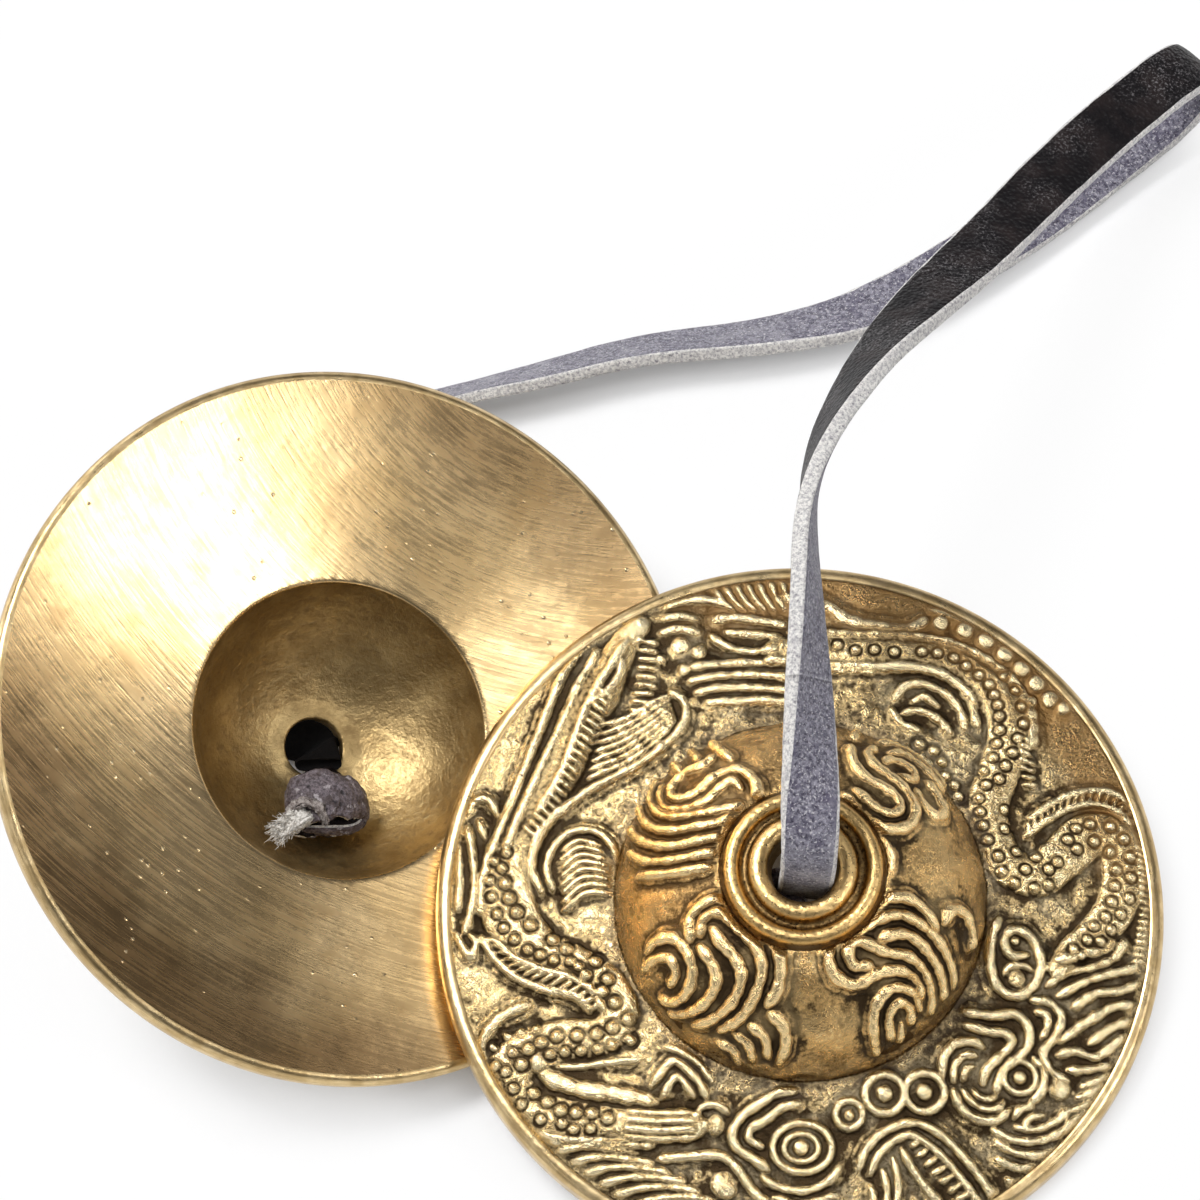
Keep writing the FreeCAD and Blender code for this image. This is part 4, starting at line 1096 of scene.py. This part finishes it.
def skin_mesh(name, section, reach, relief, around, look):
    # A cast skin that follows a section and carries a relief, closed beneath by a plain surface.
    # Each row of the section takes the relief at its own reach from the map's middle. Each point
    # keeps its rise, and its step: how far it stands above its surroundings.
    fade_width, rise_share, step_reach, edge_step = look
    normals = outward(section)
    t = np.linspace(0, FULL_TURN, around, endpoint=False)
    reach = reach[:, None] + 0 * t
    x, y = reach * np.cos(t), reach * np.sin(t)
    inner = np.clip((reach - reach.min()) / fade_width, 0, 1)
    fade = inner * np.clip((reach.max() - reach) / fade_width, 0, 1)
    rise = relief.read(x, y) * fade * rise_share
    step = relief.against_surroundings(step_reach).read(x, y) * fade - (1 - fade) * edge_step
    under = section[[-1, 0]] - normals[[-1, 0]] * PLATE_SINK
    radii, heights = [np.vstack([section[:, k:k + 1] + normals[:, k:k + 1] * rise,
                                 np.repeat(under[:, k:k + 1], around, 1)]) for k in (0, 1)]
    faces = grid_faces(len(radii), around, closed_rows=True)
    mesh = mesh_from(name, revolved(radii, heights, t).reshape(-1, 3) * MM, faces)
    for label, values in (("rise", rise), ("step", step)):
        filled = np.vstack([values, np.zeros((len(under), around))]).astype(np.float32)
        mesh.attributes.new(label, "FLOAT", "POINT").data.foreach_set("value", filled.ravel())
    keep_place(mesh)
    return mesh


def flange_mesh(relief):
    section = straight(FLANGE_EDGE, DOME_BASE, flange_rows)
    return skin_mesh("flange", section, section[:, 0], relief, flange_around, FLANGE_SKIN_LOOK)


def dome_mesh(relief):
    section = arc_between(DOME_BASE, DOME_TOP, DOME_ARC, -1, dome_rows)
    reach = DOME_BASE_RUN - along(section)
    return skin_mesh("dome", section, reach, relief, dome_around, DOME_SKIN_LOOK)


def body_section():
    # The closed section of the plain body, as (material slot, points) stretches
    rim_middle = RIM_RADIUS - RIM_ROUND
    face_edge = (RIM_RADIUS - FACE_CHAMFER, 0)
    bore_start = (HOLE_RADIUS, ROOF_HEIGHT + BORE_RISE)
    bore_end = (HOLE_RADIUS, COLLAR_HEIGHT - BORE_SINK)
    return (
        (COLLAR, rounded((HOLE_RADIUS + LIP_ROUND, COLLAR_HEIGHT), LIP_ROUND, 180, LIP_ROWS)),
        (COLLAR, rounded((RING_RADIUS, COLLAR_HEIGHT), RING_ROUND, 180, RING_ROWS)),
        (COLLAR, straight((RING_RADIUS + RING_ROUND, COLLAR_HEIGHT), DOME_TOP, 3)[1:]),
        (COLLAR, arc_between(DOME_TOP - DOME_SINK, DOME_BASE - DOME_SINK,
                             DOME_ARC - DOME_ARC_SINK, 1, UNDER_ROWS)),
        (COLLAR, straight(DOME_BASE - FLANGE_FOOT_SINK, FLANGE_EDGE - FLANGE_EDGE_SINK, 4)),
        (RIM, straight(FLANGE_EDGE, (rim_middle, FLANGE_EDGE[1]), 2)),
        (RIM, rounded((rim_middle, FLANGE_EDGE[1] - RIM_ROUND), RIM_ROUND, 90, RIM_ROWS)[1:]),
        (RIM, straight((RIM_RADIUS, FACE_CHAMFER), face_edge, 3)),
        (FACE, straight(face_edge, MOUTH + FACE_END, FACE_ROWS)[1:]),
        (FACE, [MOUTH + MOUTH_OUTER]),
        (HOLLOW, [MOUTH + MOUTH_INNER]),
        (HOLLOW, arc_between(MOUTH + CAVITY_START, CAVITY_TOP, CAVITY_ARC, -1, CAVITY_ROWS)),
        (HOLLOW, straight(CAVITY_TOP, THROAT + ROOF_END, 4)[1:]),
        (HOLLOW, THROAT + np.array(THROAT_EDGE)),
        (HOLLOW, straight(bore_start, bore_end, 3)),
    )


def body_mesh():
    stretches = body_section()
    section = np.vstack([rows for _, rows in stretches])
    kinds = np.repeat([kind for kind, _ in stretches], [len(rows) for _, rows in stretches])
    t = np.linspace(0, FULL_TURN, BODY_AROUND, endpoint=False)
    points = revolved(section[:, :1], section[:, 1:], t)
    wave = np.zeros(points.shape[:2])
    for count in HOLLOW_WAVES:
        wave += np.cos(count * t + rng.uniform(0, LATEST_START)) * HOLLOW_WAVE
    hollow = (kinds == HOLLOW)[:, None] & (section[:, :1] > HOLE_RADIUS + EDGE_ZONE)
    at_mouth = np.abs(section[:, :1] - MOUTH[0]) < EDGE_ZONE
    points[..., 2] += wave * hollow + soft_noise(BODY_AROUND, EDGE_WAVE_REACH) * EDGE_WAVE * at_mouth
    faces = grid_faces(len(section), BODY_AROUND, closed_rows=True)
    mesh = mesh_from("body", points.reshape(-1, 3) * MM, faces)
    mesh.polygons.foreach_set("material_index", np.repeat(kinds, BODY_AROUND).astype(np.int32))
    keep_place(mesh)
    return mesh


def cymbal(side, axes):
    made = []
    for part, pattern in patterns.items():
        mesh = pattern.copy()
        mesh.name = side + "_" + part
        mesh.transform(axes)
        # The raised lines that the cymbal stands on are rubbed flat
        co = np.empty(len(mesh.vertices) * 3)
        mesh.vertices.foreach_get("co", co)
        co[2::3] = np.maximum(co[2::3], 0.0)
        mesh.vertices.foreach_set("co", co)
        made.append(new_object(mesh.name, mesh))
    return made


flange_map = flange_relief()
dome_map = dome_relief()
patterns = {"flange": flange_mesh(flange_map), "dome": dome_mesh(dome_map), "body": body_mesh()}
left_parts = cymbal("left", left_axes)
right_parts = cymbal("right", right_axes)


class Graph:
    # The nodes of a material or world, written as calls
    def __init__(self, owner):
        owner.use_nodes = True
        self.owner = owner
        self.tree = owner.node_tree
        self.tree.nodes.clear()

    def put(self, value, socket):
        # Links another node's output to the socket, or else sets its value
        if isinstance(value, bpy.types.NodeSocket):
            self.tree.links.new(value, socket)
        else:
            socket.default_value = value

    def node(self, kind, inputs=None, **settings):
        made = self.tree.nodes.new(kind)
        for key, value in settings.items():
            setattr(made, key, value)
        for key, value in (inputs or {}).items():
            self.put(value, made.inputs[key])
        return made

    def math(self, operation, a, b=0.0):
        return self.node("ShaderNodeMath", {0: a, 1: b}, operation=operation).outputs[0]

    def add(self, a, b):
        return self.math("ADD", a, b)

    def less(self, a, b):
        return self.math("SUBTRACT", a, b)

    def times(self, a, b):
        return self.math("MULTIPLY", a, b)

    def swing(self, value, amount):
        # A noise's value, made to swing about zero by the amount
        return self.times(self.less(value, 0.5), amount)

    def span(self, value, low, high, to_low=0.0, to_high=1.0):
        inputs = {"Value": value, "From Min": low, "From Max": high, "To Min": to_low, "To Max": to_high}
        return self.node("ShaderNodeMapRange", inputs, interpolation_type="SMOOTHSTEP").outputs[0]

    def noise(self, vector, scale, detail=3.0, roughness=0.55, kind="3D"):
        inputs = {"Vector": vector, "Scale": scale, "Detail": detail, "Roughness": roughness}
        return self.node("ShaderNodeTexNoise", inputs, noise_dimensions=kind).outputs[0]

    def cells(self, vector, scale, feature="F1"):
        inputs = {"Vector": vector, "Scale": scale}
        return self.node("ShaderNodeTexVoronoi", inputs, feature=feature).outputs["Distance"]

    def mix(self, share, a, b):
        # A mix of two colours: these are the colour inputs of a node that also mixes other kinds
        made = self.node("ShaderNodeMix", {0: share}, data_type="RGBA")
        for key, colour in ((6, a), (7, b)):
            self.put((*colour, 1) if isinstance(colour, tuple) else colour, made.inputs[key])
        return made.outputs[2]

    def stain(self, colour, value, low, high, share, tint):
        # The colour, with up to this share of a tint where the value runs from low to high
        return self.mix(self.span(value, low, high, 0.0, share), colour, tint)

    def bump(self, height, depth, before=None):
        # A bump so many millimetres deep, over another one where that is given
        inputs = {"Height": height, "Distance": depth * MM}
        if before is not None:
            inputs["Normal"] = before
        return self.node("ShaderNodeBump", inputs).outputs[0]

    def coordinates(self):
        # The piece's own coordinates, in millimetres
        place = self.node("ShaderNodeTexCoord").outputs["Object"]
        return self.node("ShaderNodeVectorMath", {0: place, 3: 1 / MM}, operation="SCALE").outputs[0]

    def kept(self, name, kind="Fac"):
        # A value that the mesh keeps at each point
        return self.node("ShaderNodeAttribute", attribute_name=name).outputs[kind]

    def parts(self, vector):
        return self.node("ShaderNodeSeparateXYZ", {0: vector}).outputs

    def flat(self, x, y):
        return self.node("ShaderNodeCombineXYZ", {0: x, 1: y}).outputs[0]

    def reach(self, x, y):
        # How far a place lies from the axis
        return self.math("SQRT", self.add(self.math("POWER", x, 2.0), self.math("POWER", y, 2.0)))

    def turn(self, x, y):
        # Where a place lies round the axis
        return self.math("ARCTAN2", y, x)

    def surface(self, colour, roughness, normal, fixed):
        inputs = {"Base Color": colour, "Roughness": roughness, "Normal": normal, **fixed}
        self.finish(self.node("ShaderNodeBsdfPrincipled", inputs), "ShaderNodeOutputMaterial")
        return self.owner

    def finish(self, last, kind):
        self.node(kind, {"Surface": last.outputs[0]})


def new_material(name):
    return Graph(bpy.data.materials.new(name))


METAL = {"Metallic": 1.0}
SUEDE = {"Sheen Weight": 0.35, "Sheen Roughness": 0.5, "Specular IOR Level": 0.2}
RAW_EDGE = {"Sheen Weight": 0.25, "Sheen Roughness": 0.5, "Specular IOR Level": 0.2}

# Colours of the brass, from its polished places to the dark of its hollows, with painted glints and painted
# shade
POLISHED = (0.97, 0.81, 0.49)
POLISHED_GOLD = (0.98, 0.74, 0.38)
PAINTED_GLINT = (0.95, 0.82, 0.55)
BRASS = (0.60, 0.44, 0.21)
GOLDEN = (0.72, 0.46, 0.18)
DUSTY_BRASS = (0.44, 0.36, 0.22)
DUSTY_GOLD = (0.50, 0.36, 0.17)
SHADE_BROWN = (0.30, 0.17, 0.06)
FOOT_SHADE = (0.13, 0.10, 0.07)
PATINA = (0.055, 0.036, 0.018)
# The dome rises from the flange at this radius, in millimetres
FOOT_REACH = 16.6
# The cymbal's middle, from the middle of the arcs that the polishing wheel left, in millimetres
MIDDLE_FROM_WHEEL = (28.5, -48.0, 0.0)


def flange_painted_shade(g, mm):
    # Painted shade: browner metal near the rim, on one side, standing in for a dark reflection there
    x, y, _ = g.parts(mm)
    turn = g.turn(x, y)
    sector = g.times(g.span(turn, -0.10, 0.35), g.span(turn, 1.70, 2.05, 1.0, 0.0))
    return g.times(g.times(sector, g.span(g.reach(x, y), 25.0, 28.5)), 0.8)


def dome_painted_shade(g, mm):
    # Painted shade: browner metal towards one side, away from the sheen
    x, y, _ = g.parts(mm)
    return g.span(g.less(g.times(y, 0.7), g.times(x, 0.7)), -4.0, 13.0, 0.0, 0.35)


def relief_brass(name, high, middle, ground, stipple, speckled, painted_bright_share, browning):
    # Cast brass, dark beside its raised lines and worn bright on top of them
    g = new_material(name)
    mm = g.kept("place", "Vector")
    x, y, _ = g.parts(mm)
    cloudy = g.noise(mm, 0.30, 4)
    fine = g.noise(mm, 2.6, 4, 0.65)
    speckle = g.noise(mm, 4.5, 2)
    # One side is painted brighter, a painted highlight: less dust there and a higher lift
    painted_bright = g.span(g.math("ABSOLUTE", g.turn(x, y)), 1.9, 2.5, 0.0, painted_bright_share)
    low = g.times(g.span(g.kept("rise"), 0.10, 0.45, 1.0, 0.0), g.less(1.0, painted_bright))
    lift = g.add(g.add(g.kept("step"), g.swing(fine, 0.30)), g.swing(cloudy, 0.18))
    lift = g.add(lift, g.times(painted_bright, 0.035))
    colour = g.mix(g.span(lift, -0.12, 0.02), PATINA, middle)
    colour = g.mix(g.span(lift, 0.02, 0.16), colour, high)
    dust = g.times(low, g.span(cloudy, 0.45, 0.65))
    colour = g.mix(g.times(dust, 0.5), colour, ground)
    specks = g.times(low, g.span(speckle, 0.52, 0.66))
    colour = g.mix(g.times(specks, speckled), colour, PATINA)
    # Painted shade: browner on one side, less on raised lines
    painted_brown_shade = g.times(browning(g, mm), g.span(lift, 0.02, 0.14, 1.0, 0.3))
    colour = g.mix(painted_brown_shade, colour, SHADE_BROWN)
    # Painted shade darkens the corner where the dome rises from the flange
    from_foot = g.math("ABSOLUTE", g.less(g.reach(x, y), FOOT_REACH))
    from_foot = g.add(from_foot, g.swing(cloudy, 3.0))
    foot_shade = g.times(g.span(from_foot, 0.2, 2.0, 0.42, 0.0), g.span(lift, 0.02, 0.14, 1.0, 0.15))
    colour = g.mix(foot_shade, colour, FOOT_SHADE)
    roughness = g.add(g.span(lift, -0.12, 0.08, 0.45, 0.14), g.swing(fine, 0.2))
    normal = g.bump(fine, 0.14, g.bump(speckle, stipple))
    return g.surface(colour, roughness, normal, METAL)


def collar_brass():
    g = new_material("brass_collar")
    mm = g.kept("place", "Vector")
    height = g.parts(mm)[2]
    cloudy = g.noise(mm, 0.6, 4)
    fine = g.noise(mm, 3.5, 3)
    lift = g.add(height, g.swing(fine, 0.5))
    foot, shoulder, top = COLLAR_HEIGHT - 0.1, COLLAR_HEIGHT + 0.35, COLLAR_HEIGHT + 0.85
    colour = g.mix(g.span(lift, foot, shoulder), (0.10, 0.06, 0.025), (0.56, 0.35, 0.12))
    colour = g.mix(g.span(lift, shoulder, top), colour, (0.84, 0.58, 0.25))
    colour = g.stain(colour, cloudy, 0.55, 0.8, 0.4, (0.24, 0.14, 0.05))
    roughness = g.span(fine, 0.3, 0.7, 0.26, 0.42)
    return g.surface(colour, roughness, g.bump(g.noise(mm, 1.5, 5), 0.12), METAL)


def rim_brass():
    g = new_material("brass_rim")
    mm = g.kept("place", "Vector")
    x, y, z = g.parts(mm)
    turned = g.noise(g.flat(g.times(g.turn(x, y), 14.0), g.times(z, 7.0)), 1.0, 3, 0.6, "2D")
    cloudy = g.noise(mm, 0.5, 4)
    colour = g.mix(g.span(cloudy, 0.35, 0.7), (0.56, 0.40, 0.19), (0.80, 0.61, 0.33))
    colour = g.stain(colour, turned, 0.5, 0.75, 0.35, (0.30, 0.18, 0.08))
    roughness = g.span(turned, 0.3, 0.7, 0.27, 0.40)
    normal = g.bump(g.noise(mm, 1.2, 4), 0.04, g.bump(turned, 0.02))
    return g.surface(colour, roughness, normal, METAL)


def wheel_marks(g, mm):
    # Fine arcs left by the polishing wheel, about a point off the middle
    from_wheel = g.node("ShaderNodeVectorMath", {0: mm, 1: MIDDLE_FROM_WHEEL}, operation="ADD")
    x, y, _ = g.parts(from_wheel.outputs[0])
    reach, turn = g.reach(x, y), g.turn(x, y)
    broad = g.noise(g.flat(g.times(reach, 2.8), g.times(turn, 5.0)), 1.0, 3, 0.6, "2D")
    fine = g.noise(g.flat(g.times(reach, 5.0), g.times(turn, 14.0)), 1.0, 2, 0.6, "2D")
    return g.add(g.times(broad, 0.55), g.times(fine, 0.45))


def painted_shade_sectors(g, mm):
    # Painted shade: darker brown towards the rim, in two sectors, standing in for dark reflections
    x, y, _ = g.parts(mm)
    wandering = g.add(g.reach(x, y), g.swing(g.noise(mm, 0.12, 4), 14.0))
    lower = g.less(g.times(x, 0.70), g.times(y, 0.72))
    upper = g.less(g.times(y, 0.62), g.times(x, 0.78))
    dark_sector = g.times(g.span(wandering, 21.5, 30.0), g.span(lower, 6.0, 24.0, 0.0, 0.85))
    return g.add(dark_sector, g.times(g.span(wandering, 20.0, 30.0), g.span(upper, 16.0, 27.0, 0.0, 0.6)))


def brushed_brass():
    g = new_material("brass_face")
    mm = g.kept("place", "Vector")
    marks = wheel_marks(g, mm)
    cloudy = g.noise(mm, 0.10, 4)
    browning = g.noise(mm, 0.33, 5)
    pitted = g.span(g.noise(mm, 0.16, 2), 0.50, 0.62)
    pits = g.times(g.span(g.cells(mm, 0.75), 0.05, 0.16, 1.0, 0.0), pitted)
    colour = g.mix(g.span(cloudy, 0.3, 0.7), (0.62, 0.43, 0.20), (0.77, 0.56, 0.29))
    colour = g.stain(colour, browning, 0.52, 0.75, 0.45, (0.50, 0.31, 0.13))
    colour = g.mix(g.span(marks, 0.25, 0.75, 0.16, 0.0), colour, (0.40, 0.26, 0.13))
    colour = g.mix(painted_shade_sectors(g, mm), colour, (0.27, 0.165, 0.075))
    # Painted glints: a pale colour on the pits
    colour = g.mix(g.times(pits, 0.6), colour, PAINTED_GLINT)
    roughness = g.add(g.span(marks, 0.3, 0.7, 0.32, 0.22), g.swing(browning, 0.12))
    normal = g.bump(cloudy, 0.10, g.bump(pits, 0.06, g.bump(marks, 0.018)))
    return g.surface(colour, roughness, normal, METAL)


def cast_hollow():
    g = new_material("brass_hollow")
    mm = g.kept("place", "Vector")
    cloudy = g.noise(mm, 0.22, 4)
    mottle = g.noise(mm, 0.9, 5, 0.65)
    grain = g.noise(mm, 4.0, 3)
    colour = g.mix(g.span(cloudy, 0.35, 0.7), (0.36, 0.25, 0.11), BRASS)
    colour = g.stain(colour, mottle, 0.45, 0.7, 0.55, (0.20, 0.13, 0.055))
    roughness = g.add(g.span(mottle, 0.3, 0.7, 0.40, 0.52), g.swing(grain, 0.12))
    return g.surface(colour, roughness, g.bump(grain, 0.035, g.bump(mottle, 0.16)), METAL)


def suede():
    g = new_material("leather_suede")
    mm = g.coordinates()
    nap = g.noise(mm, 2.4, 5, 0.75)
    patches = g.noise(mm, 0.8, 4)
    colour = g.mix(g.span(nap, 0.36, 0.64), (0.06, 0.055, 0.085), (0.29, 0.28, 0.33))
    colour = g.stain(colour, patches, 0.5, 0.66, 0.65, (0.085, 0.075, 0.12))
    colour = g.stain(colour, g.noise(mm, 0.22, 3), 0.5, 0.7, 0.5, (0.33, 0.32, 0.36))
    # Small dark pits, and pale flecks
    colour = g.stain(colour, g.noise(mm, 2.9, 3), 0.56, 0.66, 0.8, (0.03, 0.025, 0.045))
    colour = g.stain(colour, g.noise(mm, 4.2, 3), 0.57, 0.66, 0.75, (0.60, 0.58, 0.60))
    return g.surface(colour, 0.92, g.bump(patches, 0.18, g.bump(nap, 0.10)), SUEDE)


def grain_leather():
    g = new_material("leather_grain")
    mm = g.coordinates()
    small = g.noise(mm, 5.5, 3)
    colour = g.mix(g.span(g.noise(mm, 0.35, 4), 0.4, 0.7), (0.006, 0.005, 0.006), (0.018, 0.013, 0.013))
    scuffed = g.span(g.noise(mm, 0.16, 3), 0.42, 0.60)
    worn = g.times(g.span(g.noise(mm, 4.2, 4, 0.7), 0.52, 0.66), scuffed)
    colour = g.mix(worn, colour, (0.16, 0.15, 0.155))
    roughness = g.span(small, 0.3, 0.7, 0.32, 0.48)
    pebbles = g.cells(mm, 2.6, "SMOOTH_F1")
    normal = g.bump(small, 0.035, g.bump(pebbles, 0.16))
    return g.surface(colour, roughness, normal, {"Specular IOR Level": 0.16})


def cut_edge():
    g = new_material("leather_edge")
    mm = g.coordinates()
    fuzz = g.noise(mm, 3.4, 5, 0.75)
    colour = g.mix(g.span(fuzz, 0.34, 0.62), (0.36, 0.345, 0.36), (0.84, 0.82, 0.78))
    colour = g.stain(colour, g.noise(mm, 1.0, 3), 0.55, 0.72, 0.45, (0.34, 0.32, 0.35))
    colour = g.stain(colour, g.noise(mm, 2.6, 3), 0.60, 0.69, 0.7, (0.13, 0.12, 0.15))
    return g.surface(colour, 0.9, g.bump(fuzz, 0.16), RAW_EDGE)


def torn_fibre():
    g = new_material("leather_fibre")
    mm = g.coordinates()
    colour = g.mix(g.span(g.noise(mm, 4.0, 2), 0.35, 0.65), (0.40, 0.37, 0.33), (0.74, 0.71, 0.66))
    return g.surface(colour, 0.9, g.bump(g.noise(mm, 9.0, 2), 0.02), {"Specular IOR Level": 0.2})


def painted_shade_leather():
    # Near-black leather with no sheen: painted shade for the strap inside the left hole
    g = new_material("leather_painted_shade")
    rubbed = g.noise(g.coordinates(), 2.0, 4)
    colour = g.mix(rubbed, (0.002, 0.002, 0.002), (0.008, 0.007, 0.007))
    return g.surface(colour, 0.8, g.bump(rubbed, 0.1), {"Specular IOR Level": 0.05})


def raw_leather():
    g = new_material("leather_lip")
    mm = g.coordinates()
    nap = g.noise(mm, 3.2, 4, 0.7)
    pits = g.noise(mm, 1.6, 3)
    colour = g.mix(g.span(nap, 0.36, 0.64), (0.15, 0.12, 0.11), (0.44, 0.39, 0.36))
    colour = g.stain(colour, pits, 0.55, 0.66, 0.8, (0.06, 0.045, 0.04))
    return g.surface(colour, 0.85, g.bump(pits, 0.2, g.bump(nap, 0.12)), {"Specular IOR Level": 0.25})


def knot_leather(name, light, cracked):
    # The knot's leather, creased, with its colours at a share of their full light: at a low share it is a
    # shaded copy, painted shade. Its outside is cracked too.
    def shade(*colour):
        return tuple(value * light for value in colour)

    g = new_material(name)
    mm = g.coordinates()
    nap = g.noise(mm, 3.5, 4, 0.65)
    creases = g.noise(mm, 1.0, 4, 0.65)
    cracks = g.noise(mm, 0.95, 4, 0.6)
    colour = g.mix(g.span(nap, 0.34, 0.66), shade(0.055, 0.042, 0.048), shade(0.20, 0.165, 0.18))
    colour = g.stain(colour, g.noise(mm, 0.7, 4), 0.48, 0.62, 0.75, shade(0.055, 0.038, 0.035))
    # Pale crease ridges: partly worn pale leather, partly a painted highlight on the bump's high places
    colour = g.stain(colour, creases, 0.58, 0.66, 0.85, shade(0.42, 0.38, 0.39))
    colour = g.stain(colour, cracks, 0.60, 0.67, 0.9, shade(0.012, 0.009, 0.012))
    roughness = g.span(nap, 0.3, 0.7, 0.42, 0.65)
    normal = g.bump(creases, 0.45, g.bump(nap, 0.08))
    if cracked:
        normal = g.bump(cracks, -0.45, normal)
    return g.surface(colour, roughness, normal, {"Specular IOR Level": 0.4 * light})


def finish_with(piece, *materials):
    for material in materials:
        piece.data.materials.append(material)


flange_brass = relief_brass("brass_flange", high=POLISHED, middle=BRASS, ground=DUSTY_BRASS,
                            stipple=0.09, speckled=0.6, painted_bright_share=0.8, browning=flange_painted_shade)
dome_brass = relief_brass("brass_dome", high=POLISHED_GOLD, middle=GOLDEN, ground=DUSTY_GOLD,
                          stipple=0.02, speckled=0.10, painted_bright_share=0.2, browning=dome_painted_shade)
body_finishes = collar_brass(), rim_brass(), brushed_brass(), cast_hollow()
for flange, dome, body in (left_parts, right_parts):
    finish_with(flange, flange_brass)
    finish_with(dome, dome_brass)
    finish_with(body, *body_finishes)

suede_side, grain_side, edge_side, fibre = suede(), grain_leather(), cut_edge(), torn_fibre()
hole_shade, torn_lip = painted_shade_leather(), raw_leather()
knotted = knot_leather("leather_knot", 1.0, cracked=True)
# The same leather at a small share of its light: painted shade for the inside of the knot
knot_painted_shade = knot_leather("leather_knot_painted_shade", 0.12, cracked=False)
for piece in (band, right_neck):
    finish_with(piece, suede_side, grain_side, edge_side)
# In the left hole the leather is painted nearly black all round, as painted shade
finish_with(left_neck, hole_shade, hole_shade, hole_shade)
for turns, tail, lip, fray in (left_knot, right_knot):
    # The inner side of the turns takes the painted shade copy
    finish_with(turns, knot_painted_shade, knotted, edge_side)
    finish_with(lip, torn_lip, torn_lip, torn_lip)
    finish_with(tail, fibre, edge_side, fibre)
    finish_with(fray, fibre)

# Which body each piece moves with, and the CAD node that it stands for
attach(band, "strap")
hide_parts("strap")
for side, parts, knot in (("left", left_parts, left_knot), ("right", right_parts, right_knot)):
    for piece in parts:
        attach(piece, side + "_cymbal")
        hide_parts(side + "_cymbal")
    for piece in knot:
        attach(piece, side + "_knot")
        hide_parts(side + "_knot")
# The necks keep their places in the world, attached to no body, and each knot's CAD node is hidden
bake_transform(right_neck)
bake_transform(left_neck)
for piece, node in ((right_neck, "right_knot"), (left_neck, "left_knot")):
    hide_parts(node)

# The table: its half size and how far its soft shadow reaches, in metres
TABLE_HALF = 3
SHADOW_REACH = 0.03
TABLE_COLOUR = (0.86, 0.86, 0.87, 1)
TABLE_WHITE = 0.95
WHITE = (1, 1, 1, 1)


def lay_table():
    # A plain pale table. It shows white, and keeps the object's soft shadow.
    h = TABLE_HALF
    mesh = mesh_from("floor", [(-h, -h, 0), (h, -h, 0), (h, h, 0), (-h, h, 0)], [(0, 1, 2, 3)])
    g = new_material("floor")
    ray = g.node("ShaderNodeLightPath").outputs
    mirrored = g.math("MAXIMUM", ray["Is Glossy Ray"], ray["Is Transmission Ray"])
    seen = g.math("MAXIMUM", ray["Is Camera Ray"], mirrored)
    matt = g.node("ShaderNodeBsdfDiffuse", {"Color": TABLE_COLOUR})
    glow = g.node("ShaderNodeEmission", {"Color": WHITE, "Strength": 1.0})
    open_air = g.node("ShaderNodeAmbientOcclusion", {"Distance": SHADOW_REACH}, samples=8).outputs["AO"]
    share = g.times(seen, g.span(open_air, 0.08, 0.80, 0.0, TABLE_WHITE))
    g.finish(g.node("ShaderNodeMixShader", {0: share, 1: matt.outputs[0], 2: glow.outputs[0]}),
             "ShaderNodeOutputMaterial")
    mesh.materials.append(g.owner)
    new_object("floor", mesh)


def light_room():
    # The room: white where the camera looks, a soft studio for everything else
    world = bpy.data.worlds.new("world")
    bpy.context.scene.world = world
    g = Graph(world)
    direction = g.node("ShaderNodeTexCoord").outputs["Generated"]
    low_sky = g.span(g.parts(direction)[2], 0.02, 0.42, 1.0, 0.0)
    room = g.mix(low_sky, (0.10, 0.10, 0.105), (0.70, 0.70, 0.70))
    shown = g.mix(g.node("ShaderNodeLightPath").outputs["Is Camera Ray"], room, (1, 1, 1))
    g.finish(g.node("ShaderNodeBackground", {"Color": shown, "Strength": 1.0}), "ShaderNodeOutputWorld")


# Soft boxes: (name, way from the object, distance, width and height in metres, radiance)
LAMPS = (
    ("key", (0.79, 0.03, 0.61), 0.9, 0.26, 0.20, 12.0),
    ("top", (0.33, -0.04, 0.94), 1.0, 0.18, 0.18, 7.0),
    ("front", (0.33, 0.38, 0.86), 1.0, 0.18, 0.18, 3.0),
    ("overhead", (-0.38, 0.07, 0.92), 1.0, 0.34, 0.34, 24.0),
    ("side", (-1.0, -0.05, 0.14), 1.1, 0.6, 0.3, 3.0),
    ("behind", (-0.75, 0.55, 0.37), 1.1, 0.5, 0.3, 3.0),
    ("fill", (-0.55, -0.65, 0.60), 1.2, 0.7, 0.5, 0.9),
)


def soft_lamp(name, way, distance, width, height, radiance):
    data = bpy.data.lights.new(name, "AREA")
    data.shape = "RECTANGLE"
    data.size = width
    data.size_y = height
    data.energy = radiance * math.pi * width * height
    lamp = new_object(name, data)
    place = Vector(way).normalized() * distance
    lamp.location = place
    lamp.rotation_euler = place.to_track_quat("Z", "Y").to_euler()


lay_table()
light_room()
for lamp in LAMPS:
    soft_lamp(*lamp)
bpy.context.scene.view_settings.view_transform = "Standard"
